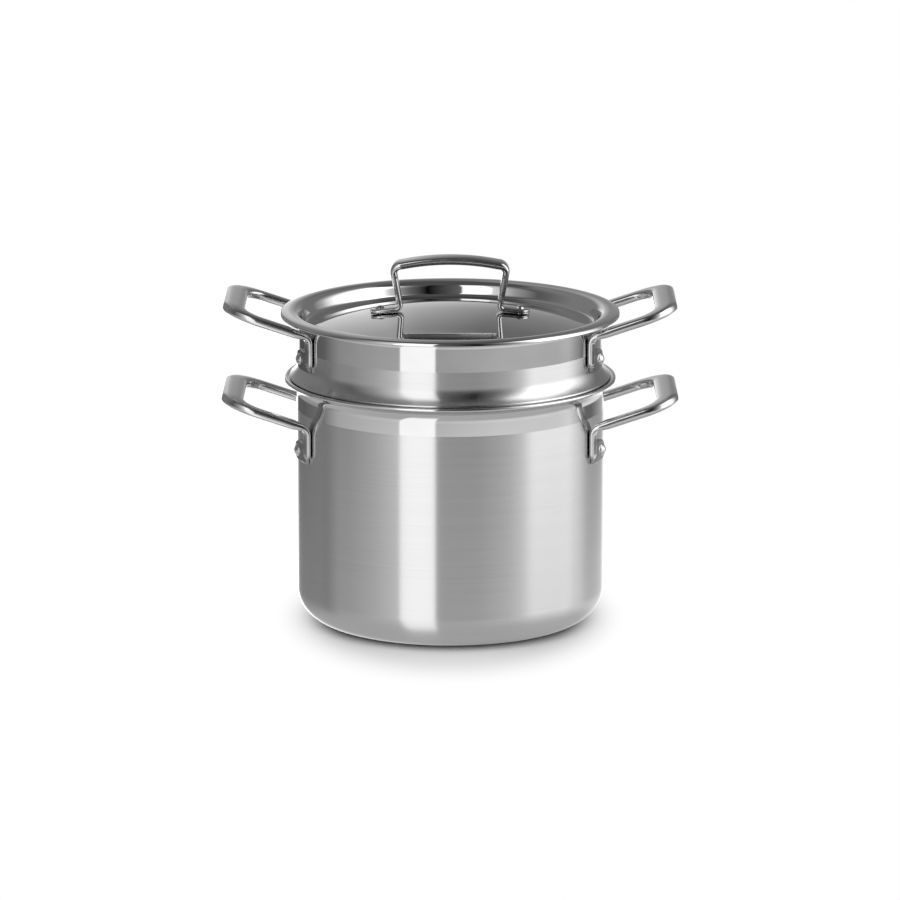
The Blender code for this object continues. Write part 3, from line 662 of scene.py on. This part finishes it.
def insert_shell():
    skin = COLLAR_RADIUS - SHEET / 2
    mesh = turned_mesh("plain_shell", insert_profile(), SATIN, BAND, COLLAR_POLISH_FROM, skin)
    piece("insert_shell", perforated(mesh), "insert", "satin_steel", "strainer_insert")


# Lid

def dome_height(reach):
    """Height of the dome's top surface at a distance from the axis."""
    return LID_CROWN - reach * reach / (2 * LID_DOME_SPHERE)


def lid_profile():
    """Dome, trough, a recess wall on the insert's lip, flange and turned-down edge, along the underside."""
    reaches = [TROUGH_RADIUS * step / (2 * ARC_STEPS) for step in range(2 * ARC_STEPS + 1)]
    line = [(reach, dome_height(reach) - SHEET) for reach in reaches]
    line += arc((COVE_RADIUS, TROUGH_TOP + LID_COVE), LID_COVE + SHEET, -QUARTER, -LID_DRAFT)
    rise = LID_FLANGE_BEND - LID_SHOULDER
    centre = (SHOULDER_RADIUS + rise * math.sin(FLANGE_TURN), FLANGE_TOP - LID_FLANGE_BEND)
    shoulder = (SHOULDER_RADIUS, centre[1] + rise * math.cos(FLANGE_TURN))
    edge = (EDGE_RADIUS, centre[1] + (LID_FLANGE_BEND - LID_EDGE_BEND) * math.cos(FLANGE_TURN))
    line += arc(shoulder, LID_SHOULDER - SHEET, math.pi - LID_DRAFT, QUARTER + FLANGE_TURN)
    line += arc(centre, LID_FLANGE_BEND - SHEET, QUARTER + FLANGE_TURN, QUARTER - FLANGE_TURN)[1:-1]
    line += arc(edge, LID_EDGE_BEND - SHEET, QUARTER - FLANGE_TURN, 0.0)
    line.append((LID_RADIUS - SHEET, FLANGE_TOP - LID_EDGE_DROP))
    return sheet_profile(line, SHEET)


def lid_shell():
    mesh = turned_mesh("lid_shell", lid_profile(), LID_STEEL)
    piece("lid_shell", mesh, "lid", "polished_steel", "lid_cover")


# Bars of the handles

def bar_section(centre, side, up, width, thickness):
    """A rounded section across a bar: a superellipse between an oval and a box."""
    ring = []
    for index in range(SECTION_POINTS):
        angle = math.tau * (index + 0.5) / SECTION_POINTS
        across = math.copysign(abs(math.cos(angle)) ** SECTION_POWER, math.cos(angle)) * width / 2
        raised = math.copysign(abs(math.sin(angle)) ** SECTION_POWER, math.sin(angle)) * thickness / 2
        ring.append(centre + side * across + up * raised)
    return ring


def blend(start, end, share):
    """A smooth step from start to end."""
    share = min(max(share, 0.0), 1.0)
    share = share * share * (3 - 2 * share)
    return start + (end - start) * share


def round_end(radius, steps=EDGE_STEPS):
    """Depth and half breadth of the rings that close a round end."""
    turns = [QUARTER * step / steps for step in range(1, steps + 1)]
    return [(radius * (1 - math.cos(turn)), radius * math.sin(turn)) for turn in turns]


# Side handles

def leg_offset(wall):
    """Distance from the axis to the leg's centre line."""
    return wall + GAP + LEG_THICKNESS / 2


def strip_point(travel, wall, root):
    """A point of the bent strip that the loop lies in: reach, height and the strip's slope."""
    outer = leg_offset(wall)
    reach = math.sqrt(outer * outer - HANDLE_SPREAD * HANDLE_SPREAD / 4)
    foot = root - HANDLE_LEG
    if travel <= HANDLE_LEG:
        return reach, foot + travel, QUARTER
    travel -= HANDLE_LEG
    turn = min(travel / HANDLE_BEND, QUARTER - HANDLE_SLOPE)
    reach += HANDLE_BEND * (1 - math.cos(turn))
    height = root + HANDLE_BEND * math.sin(turn)
    travel -= HANDLE_BEND * turn
    straight = min(travel, HANDLE_LEVEL)
    reach += straight * math.sin(turn)
    height += straight * math.cos(turn)
    turn_down = max(travel - straight, 0.0) / HANDLE_DROOP
    slope = QUARTER - turn - turn_down
    reach += HANDLE_DROOP * (math.sin(slope + turn_down) - math.sin(slope))
    height += HANDLE_DROOP * (math.cos(slope) - math.cos(slope + turn_down))
    return reach, height, slope


def grip_travel(wall):
    """How far along the strip the grip's centre line lies."""
    low, high = HANDLE_LEG, HANDLE_LEG + 2 * HANDLE_REACH
    for _ in range(HALVINGS):
        middle = (low + high) / 2
        if strip_point(middle, wall, 0.0)[0] < wall + HANDLE_REACH - GRIP_WIDTH / 2:
            low = middle
        else:
            high = middle
    return low


def half_route(wall):
    """Stations along one leg, arm, corner and half the grip: travel, offset, heading, width, grip share."""
    half = HANDLE_SPREAD / 2
    far = grip_travel(wall)
    bend_end = HANDLE_LEG + HANDLE_BEND * (QUARTER - HANDLE_SLOPE)
    stations = [(depth, half, 0.0, 2 * breadth, 0.0) for depth, breadth in round_end(LEG_WIDTH / 2)]
    stations.append((LEG_STATION, half, 0.0, LEG_WIDTH, 0.0))
    for step in range(ARC_STEPS + 1):
        stations.append((HANDLE_LEG + (bend_end - HANDLE_LEG) * step / ARC_STEPS, half, 0.0, None, 0.0))
    corner = [corner_station(far, QUARTER * step / ARC_STEPS) for step in range(ARC_STEPS + 1)]
    for step in range(1, STRAIGHT_STEPS):
        travel = bend_end + (corner[0][0] - bend_end) * step / STRAIGHT_STEPS
        stations.append((travel, half, 0.0, None, 0.0))
    return stations + corner


def corner_station(far, turn):
    """A station where the arm turns into the grip, between the loop's outer and inner corners."""
    half = HANDLE_SPREAD / 2
    edges = []
    for sign, radius in ((1, GRIP_OUTER_CORNER), (-1, GRIP_INNER_CORNER)):
        travel = far + sign * GRIP_WIDTH / 2 - radius + radius * math.sin(turn)
        offset = half + sign * ARM_WIDTH / 2 - radius + radius * math.cos(turn)
        edges.append(Vector((travel, offset)))
    middle = (edges[0] + edges[1]) / 2
    across = edges[0] - edges[1]
    return middle.x, middle.y, math.atan2(across.x, across.y), across.length, turn / QUARTER


def handle_ring(station, wall, root):
    """The bar's section at a station of the +Y half."""
    travel, offset, heading, width, grip_share = station
    reach, height, slope = strip_point(travel, wall, root)
    along = Vector((math.cos(slope), 0.0, math.sin(slope)))
    up = Vector((-math.sin(slope), 0.0, math.cos(slope)))
    arm_share = (travel - HANDLE_LEG) / (2 * HANDLE_BEND)
    hug = math.asin(HANDLE_SPREAD / 2 / leg_offset(wall))
    turned = Matrix.Rotation(blend(hug, 0.0, arm_share), 3, along)
    side = turned @ (Vector((0.0, math.cos(heading), 0.0)) + along * math.sin(heading))
    full = blend(LEG_WIDTH, ARM_WIDTH, arm_share)
    width = full if width is None else width
    thickness = blend(blend(LEG_THICKNESS, ARM_THICKNESS, arm_share), GRIP_THICKNESS, grip_share)
    rounding = math.sqrt(min(width / full, 1.0))
    centre = Vector((reach, offset, height))
    return bar_section(centre, side, turned @ up, width, thickness * rounding)


def mirrored(ring):
    """A ring of points on the other side of the XZ plane."""
    return [Vector((point.x, -point.y, point.z)) for point in ring]


def tab_rings(wall, root):
    """A curved pad on the wall, from its round end past the rivet to the leg."""
    inner = wall + GAP
    outer = inner + TAB_THICKNESS
    high = TAB_HEIGHT / 2
    last = HANDLE_SPREAD / 2
    middle = root - TAB_DROP
    stations = [(TAB_RIVET - high + depth, half) for depth, half in round_end(high, TAB_END_STEPS)]
    stations += [((TAB_RIVET + last) / 2, high), (last, high)]
    rings = []
    for offset, half in stations:
        angle = math.asin(offset / outer)
        away = Vector((math.cos(angle), math.sin(angle), 0.0))
        edge = max(half - TAB_EDGE, half / 2)
        corners = [(inner, -half), (outer - TAB_EDGE, -half), (outer, -edge)]
        corners += [(outer, edge), (outer - TAB_EDGE, half), (inner, half)]
        rings.append([away * reach + Vector((0, 0, middle + height)) for reach, height in corners])
    return rings


def side_handles(body, wall, root):
    """Both loop handles of one vessel, each a bar with two riveting tabs."""
    rings = [handle_ring(station, wall, root) for station in half_route(wall)]
    tab = tab_rings(wall, root)
    for side, turn in (("right", 0.0), ("left", math.pi)):
        shape = bmesh.new()
        loft(shape, rings + [mirrored(ring) for ring in rings[::-1]])
        loft(shape, tab)
        loft(shape, [mirrored(ring) for ring in tab])
        bmesh.ops.rotate(shape, verts=shape.verts, cent=(0, 0, 0), matrix=Matrix.Rotation(turn, 3, "Z"))
        name = "%s_loop_%s" % (body, side)
        piece(name, finish_mesh(name, shape, CASTING), body, "cast_steel", "%s_handle_%s" % (body, side))


# Lid handle

def strap_seat(above):
    """A point above the dome at the right rivet of the lid handle, along the dome's normal."""
    away = STRAP_RIVET + above * math.sin(STRAP_FALL)
    return Vector((away, 0.0, dome_height(STRAP_RIVET) + above * math.cos(STRAP_FALL)))


def strap_route():
    """Half the strap: the centre line from a tab's end to the middle of the top bar, with its shape.
    Each station is x, z, how far the tab has become a leg, the leg the top bar, and the end rounding."""
    fall = math.tan(STRAP_FALL)
    rivet = strap_seat(GAP + STRAP_TAB_THICKNESS / 2)
    foot = STRAP_FOOT_SPAN / 2
    shoulder = STRAP_TOP_SPAN / 2
    tab_round = STRAP_TAB_WIDTH / 2
    flat = [(STRAP_TAB_REACH - depth, half / tab_round) for depth, half in round_end(tab_round)]
    bend = foot + STRAP_FOOT_BEND
    flat.append((bend + STRAP_FOOT_FLAT, 1.0))
    stations = [(reach, rivet.z - (reach - rivet.x) * fall, 0.0, 0.0, share) for reach, share in flat]
    base = rivet.z - (bend - rivet.x) * fall
    turned = arc((bend, base + STRAP_FOOT_BEND), STRAP_FOOT_BEND, -QUARTER, -math.pi)
    for index, (x, z) in enumerate(turned):
        stations.append((x, z, index / ARC_STEPS, 0.0, 1.0))
    corner_top = STRAP_MIDDLE - STRAP_ARCH
    corner = arc((shoulder - STRAP_CORNER, corner_top - STRAP_CORNER), STRAP_CORNER, 0.0, QUARTER)
    for step in range(1, STRAIGHT_STEPS):
        share = step / STRAIGHT_STEPS
        x, z = Vector(turned[-1]).lerp(Vector(corner[0]), share)
        stations.append((x, z, 1.0, STRAP_WIDENING * share, 1.0))
    for index, (x, z) in enumerate(corner):
        spread = STRAP_WIDENING + (1 - STRAP_WIDENING) * index / ARC_STEPS
        stations.append((x, z, 1.0, spread, 1.0))
    run = shoulder - STRAP_CORNER
    for step in range(1, ARC_STEPS):
        share = 1.0 - step / ARC_STEPS
        stations.append((run * share, corner_top + STRAP_ARCH * (1 - share * share), 1.0, 1.0, 1.0))
    return stations


def strap_rings():
    """Sections of the whole strap, from the right tab's end over the top to the left tab's end."""
    half = strap_route()
    middle = (0.0, STRAP_MIDDLE, 1.0, 1.0, 1.0)
    whole = half + [middle] + [(-station[0],) + station[1:] for station in half[::-1]]
    rings = []
    for index, (x, z, rise, spread, rounding) in enumerate(whole):
        before = whole[max(index - 1, 0)]
        after = whole[min(index + 1, len(whole) - 1)]
        along = Vector((after[0] - before[0], 0.0, after[1] - before[1])).normalized()
        side = Vector((0.0, 1.0, 0.0))
        width = blend(blend(STRAP_TAB_WIDTH, STRAP_LEG_WIDTH, rise), STRAP_TOP_WIDTH, spread)
        thickness = blend(blend(STRAP_TAB_THICKNESS, STRAP_LEG_THICKNESS, rise), STRAP_TOP_THICKNESS, spread)
        centre = Vector((x, 0.0, z))
        rings.append(bar_section(centre, side, along.cross(side), width * rounding, thickness))
    return rings


def lid_strap():
    shape = bmesh.new()
    loft(shape, strap_rings())
    mesh = finish_mesh("lid_strap", shape, CASTING)
    piece("lid_strap", mesh, "lid", "cast_steel", "lid_handle")


# Rivets

def riveting_tree():
    """Sets a rivet on every seat, with its Z axis along the seat's facing."""
    tree, given, end = shape_tree("rivets_on_seats", Object=["Seats"], Material=["Metal"])
    seats = add_node(tree, "GeometryNodeObjectInfo", {"Object": given["Seats"]})
    facing = add_node(tree, "GeometryNodeInputNamedAttribute", {"Name": "facing"}, data_type="FLOAT_VECTOR")
    turn = add_node(tree, "FunctionNodeAlignRotationToVector", {"Vector": facing}, axis="Z")
    points = add_node(tree, "GeometryNodeMeshToPoints", {0: seats.outputs["Geometry"]})
    solid = copies(tree, points, given["Geometry"], Rotation=turn)
    done = add_node(tree, "GeometryNodeSetMaterial", {0: solid, "Material": given["Metal"]})
    tree.links.new(done.outputs[0], end)
    return tree


def rivet_profile(stack, scale):
    """A rivet along Z: its domed head sits above z = 0 and its flat foot lies a stack below."""
    head = RIVET_HEAD * scale
    rise = RIVET_HEAD_HEIGHT * scale
    shank = RIVET_SHANK * scale
    foot = RIVET_FOOT * scale
    sole = -stack - RIVET_FOOT_HEIGHT * scale
    bevel = sole + RIVET_FOOT_BEVEL * RIVET_FOOT_HEIGHT * scale
    profile = [(0.0, sole), (foot * RIVET_FOOT_FLAT, sole), (foot, bevel), (foot, -stack)]
    profile += [(shank, -stack), (shank, 0.0)]
    sphere = (head * head + rise * rise) / (2 * rise)
    reach = math.asin(head / sphere)
    profile += arc((0.0, rise - sphere), sphere, QUARTER - reach, QUARTER, RIVET_HEAD_STEPS)
    return profile


def rivets(name, body, seats, stack, scale, nodes):
    """All rivets of one body, on seats of (place, facing)."""
    marks = points_object(name + "_seats", [place for place, _ in seats])
    facing = marks.data.attributes.new("facing", "FLOAT_VECTOR", "POINT")
    for index, (_, direction) in enumerate(seats):
        facing.data[index].vector = direction
    one = loose_object(name, turned_mesh(name, rivet_profile(stack, scale), RIVET, steps=RIVET_STEPS))
    done = grown(one, RIVETING, {"Seats": marks, "Metal": RIVET})
    bpy.data.objects.remove(marks)
    done.set_sharp_from_angle(angle=SMOOTH_EDGE)
    piece(name, done, body, "rivet_steel", *nodes)


def wall_rivets(body, wall, sheet, root):
    """The four rivets of one vessel, each through a tab and the wall."""
    seat = wall + GAP + TAB_THICKNESS
    swing = math.asin(TAB_RIVET / seat)
    seats = []
    for angle in (swing, -swing, math.pi + swing, math.pi - swing):
        facing = Vector((math.cos(angle), math.sin(angle), 0.0))
        seats.append((facing * seat + Vector((0, 0, root - TAB_DROP)), facing))
    places = ("left_front", "left_back", "right_front", "right_back")
    nodes = ["%s_rivet_%s" % (body, place) for place in places]
    rivets(body + "_rivets", body, seats, seat - wall + sheet, 1.0, nodes)


def lid_rivets():
    """The two rivets of the lid handle."""
    seat = strap_seat(GAP + STRAP_TAB_THICKNESS)
    seats = []
    for side in (-1, 1):
        facing = Vector((side * math.sin(STRAP_FALL), 0.0, math.cos(STRAP_FALL)))
        seats.append((Vector((side * seat.x, 0.0, seat.z)), facing))
    stack = GAP + STRAP_TAB_THICKNESS + SHEET
    rivets("lid_rivets", "lid", seats, stack, LID_RIVET_SCALE, ["lid_rivet_left", "lid_rivet_right"])


RIVETING = riveting_tree()


# Studio

CAMERA_DISTANCE = 3.8
CAMERA_HEIGHT_ANGLE = math.radians(12.8)
CAMERA_LENS = 227.2  # in mm
CAMERA_SENSOR = 36.0
CAMERA_PIVOT = 0.095  # height of the point that the distance and angle are taken from
CAMERA_AIM = 0.1133  # height that falls in the middle of the picture
TENT_RADIUS = 2.5  # a round studio tent that only reflections see
# Brightness of the tent by direction: degrees from the camera's side towards +X
LOW_STOPS = (
    (-180, 1.0), (-165, 0.30), (-156, 0.14), (-138, 0.14), (-108, 0.24), (-91, 0.56),
    (-38, 0.80), (-37, 1.42), (-11.2, 1.42), (-10, 0.71), (36, 0.89), (86, 0.90),
    (99, 0.98), (114, 0.50), (120, 0.18), (130, 0.18), (155, 0.5), (180, 1.0),
)
HIGH_STOPS = (
    (-180, 0.25), (-115, 0.26), (-79, 0.13), (-58, 0.42), (-38, 0.95), (-37, 1.6),
    (-11.5, 1.6), (-10, 0.16), (20, 0.0), (36, 0.18), (45, 0.40), (54, 0.9),
    (63, 2.1), (100, 2.1), (123, 0.55), (136, 0.22), (180, 0.22),
)
# Brightness behind the object by height angle, and how it changes from left to right
BACK_STOPS = (
    (-90, 0.3), (-45, 0.4), (-30, 0.7), (-14, 2.3), (-9, 1.9),
    (-1.5, 1.07), (6, 0.62), (14, 0.44), (30, 0.26), (90, 0.10),
)
BACK_LEAN = ((-90, 1.2), (-12, 1.7), (-5, 1.75), (-2.5, 1.25), (3, 0.72), (8, 0.72), (90, 1.0))
HORIZON = (-6.5, -2.5)  # height angles between which the low part turns into the high part
CEILING = (57, 65)  # and the high part into the dark ceiling
DIM_FROM = (-8.4, -7.6)  # the low part but for its strip light is dimmer above these height angles
DIMMING = 0.35
STRIP_LIGHT = 1.2  # where the low part is brighter than this, it is the strip light
FAR_SIDES = (102, 112)  # the far sides begin between these angles from the camera's side
FAR_START = (9.5, 12.5)  # and between these angles under the horizon
FAR_LEFT = 0.38
FAR_RIGHT = 0.95
FLOOR_START = (18, 32)  # angles under the horizon between which all but the strip light ends
STRIP_END = (35, 60)  # and between which the strip light ends
FLOOR_LIGHT = 0.56
BACK_SIDE = (156, 170)  # angles from the camera's side between which the back begins
CEILING_LIGHT = 0.10
FLOOR_REACH = 12.0
FLOOR_COLOUR = 0.97
FLOOR_DROP = 0.1 * MM  # the floor lies this far under the base
FLOOR_SHADE = (0.125, 0.190)  # distances in front of the axis between which the floor turns plain white
FLOOR_NARROWING = 1.6  # and how many times shorter they are to the sides
LAMP_PLACE = Vector((-0.4, -0.5, 1.8))
LAMP_AIM = Vector((0.0, 0.0, 0.1))
LAMP_SIZE = 1.6
LAMP_POWER = 3.0


def camera():
    """The photograph's viewing angle."""
    data = bpy.data.cameras.new("camera")
    data.lens = CAMERA_LENS
    data.sensor_width = CAMERA_SENSOR
    item = loose_object("camera", data)
    away = CAMERA_DISTANCE * math.cos(CAMERA_HEIGHT_ANGLE)
    height = CAMERA_PIVOT + CAMERA_DISTANCE * math.sin(CAMERA_HEIGHT_ANGLE)
    item.location = (0.0, -away, height)
    aim = Vector((0.0, 0.0, CAMERA_AIM))
    item.rotation_euler = (aim - item.location).to_track_quat("-Z", "Y").to_euler()
    bpy.context.scene.camera = item


def floor():
    """A plain white floor that keeps the object's shadow."""
    shape = bmesh.new()
    bmesh.ops.create_grid(shape, x_segments=1, y_segments=1, size=FLOOR_REACH)
    colour = (FLOOR_COLOUR, FLOOR_COLOUR, FLOOR_COLOUR, 1.0)
    values = {"Base Color": colour, "Roughness": 1.0, "Specular IOR Level": 0.0}
    material, tree, shader = plain_material("floor", values)
    material.cycles.emission_sampling = "NONE"
    place = tree.nodes.new("ShaderNodeTexCoord").outputs["Object"]
    oval = add_node(tree, "ShaderNodeMapping", {"Vector": place, "Scale": (FLOOR_NARROWING, 1.0, 1.0)})
    away = calculate_length(tree, oval)
    seen = tree.nodes.new("ShaderNodeLightPath").outputs["Is Camera Ray"]
    share = product(tree, seen, step_between(tree, away, FLOOR_SHADE))
    white = add_node(tree, "ShaderNodeEmission", {"Color": (1.0, 1.0, 1.0, 1.0)})
    mixed = add_node(tree, "ShaderNodeMixShader", {0: share, 1: shader, 2: white})
    tree.links.new(mixed.outputs[0], tree.nodes["Material Output"].inputs[0])
    item = loose_object("floor", finish_mesh("floor", shape, material))
    item.location.z = -FLOOR_DROP
    item.visible_glossy = False


def light_ramp(tree, degrees, stops):
    """Brightness by an angle, from stops of angle and brightness."""
    low = stops[0][0]
    span = stops[-1][0] - low
    share = calculate(tree, "MULTIPLY_ADD", degrees, 1 / span, -low / span)
    ramp = add_node(tree, "ShaderNodeValToRGB", {0: share})
    for index, (angle, light) in enumerate(stops):
        made = ramp.color_ramp.elements
        stop = made[index] if index < 2 else made.new(1.0)
        stop.position = (angle - low) / span
        stop.color = (light, light, light, 1.0)
    return ramp.outputs[0]


def slant(tree, part, whole):
    """The angle in degrees whose sine is a part of a whole."""
    return calculate(tree, "DEGREES", calculate(tree, "ARCSINE", calculate(tree, "DIVIDE", part, whole)))


def tent():
    """A tent with a strip light, a wide soft light and a bright sweep behind, seen by reflections alone."""
    shape = bmesh.new()
    bmesh.ops.create_icosphere(shape, subdivisions=4, radius=TENT_RADIUS)
    material, tree, _ = plain_material("tent", {})
    material.cycles.emission_sampling = "NONE"
    tree.nodes.clear()
    place = tree.nodes.new("ShaderNodeTexCoord").outputs["Object"]
    parts = add_node(tree, "ShaderNodeSeparateXYZ", {0: place}).outputs
    ahead = product(tree, parts["Y"], -1.0)
    side = calculate(tree, "DEGREES", calculate(tree, "ARCTAN2", parts["X"], ahead))
    away = calculate_length(tree, place)
    height = slant(tree, parts["Z"], away)
    across = slant(tree, parts["X"], away)
    low = light_ramp(tree, side, LOW_STOPS)
    high = light_ramp(tree, side, HIGH_STOPS)
    back = product(tree, light_ramp(tree, height, BACK_STOPS), light_ramp(tree, across, BACK_LEAN))
    turned = calculate(tree, "ABSOLUTE", side)
    plain = calculate(tree, "LESS_THAN", low, STRIP_LIGHT)
    dim = product(tree, step_between(tree, height, DIM_FROM), plain)
    low = product(tree, low, calculate(tree, "MULTIPLY_ADD", dim, -DIMMING, 1.0))
    drop = product(tree, height, -1.0)
    far = step_between(tree, drop, FAR_START)
    for sign, light in ((-1.0, FAR_LEFT), (1.0, FAR_RIGHT)):
        beyond = step_between(tree, product(tree, side, sign), FAR_SIDES)
        low = mixed_light(tree, product(tree, beyond, far), low, light)
    below = product(tree, step_between(tree, drop, FLOOR_START), plain)
    low = mixed_light(tree, below, low, FLOOR_LIGHT)
    front = mixed_light(tree, step_between(tree, height, HORIZON), low, high)
    around = mixed_light(tree, step_between(tree, turned, BACK_SIDE), front, back)
    around = mixed_light(tree, step_between(tree, drop, STRIP_END), around, FLOOR_LIGHT)
    whole = mixed_light(tree, step_between(tree, height, CEILING), around, CEILING_LIGHT)
    bounces = tree.nodes.new("ShaderNodeLightPath").outputs["Diffuse Depth"]
    direct = calculate(tree, "LESS_THAN", bounces, 0.5)
    glow = add_node(tree, "ShaderNodeEmission", {"Color": whole, "Strength": direct})
    out = tree.nodes.new("ShaderNodeOutputMaterial")
    tree.links.new(glow.outputs[0], out.inputs[0])
    item = loose_object("tent", finish_mesh("tent", shape, material))
    item.visible_camera = False
    item.visible_diffuse = False
    item.visible_shadow = False
    item.visible_transmission = False


def top_lamp():
    """A large soft lamp that points at the object and that reflections don't show."""
    data = bpy.data.lights.new("top_lamp", "AREA")
    data.size = LAMP_SIZE
    data.energy = LAMP_POWER
    item = loose_object("top_lamp", data)
    item.location = LAMP_PLACE
    item.rotation_euler = (LAMP_AIM - LAMP_PLACE).to_track_quat("-Z", "Y").to_euler()
    item.visible_camera = False
    item.visible_glossy = False


def world():
    """An even white surround."""
    made = bpy.data.worlds.new("surround")
    made.use_nodes = True
    shader = made.node_tree.nodes["Background"]
    shader.inputs["Color"].default_value = (1.0, 1.0, 1.0, 1.0)
    shader.inputs["Strength"].default_value = 1.0
    bpy.context.scene.world = made
    bpy.context.scene.view_settings.view_transform = "Standard"


def build():
    """Every piece, then the studio."""
    pot_shell()
    insert_shell()
    lid_shell()
    side_handles("pot", POT_RADIUS, POT_HANDLE_ROOT)
    side_handles("insert", COLLAR_RADIUS, INSERT_HANDLE_ROOT)
    lid_strap()
    wall_rivets("pot", POT_RADIUS, POT_SHEET, POT_HANDLE_ROOT)
    wall_rivets("insert", COLLAR_RADIUS, SHEET, INSERT_HANDLE_ROOT)
    lid_rivets()
    camera()
    floor()
    tent()
    top_lamp()
    world()


build()
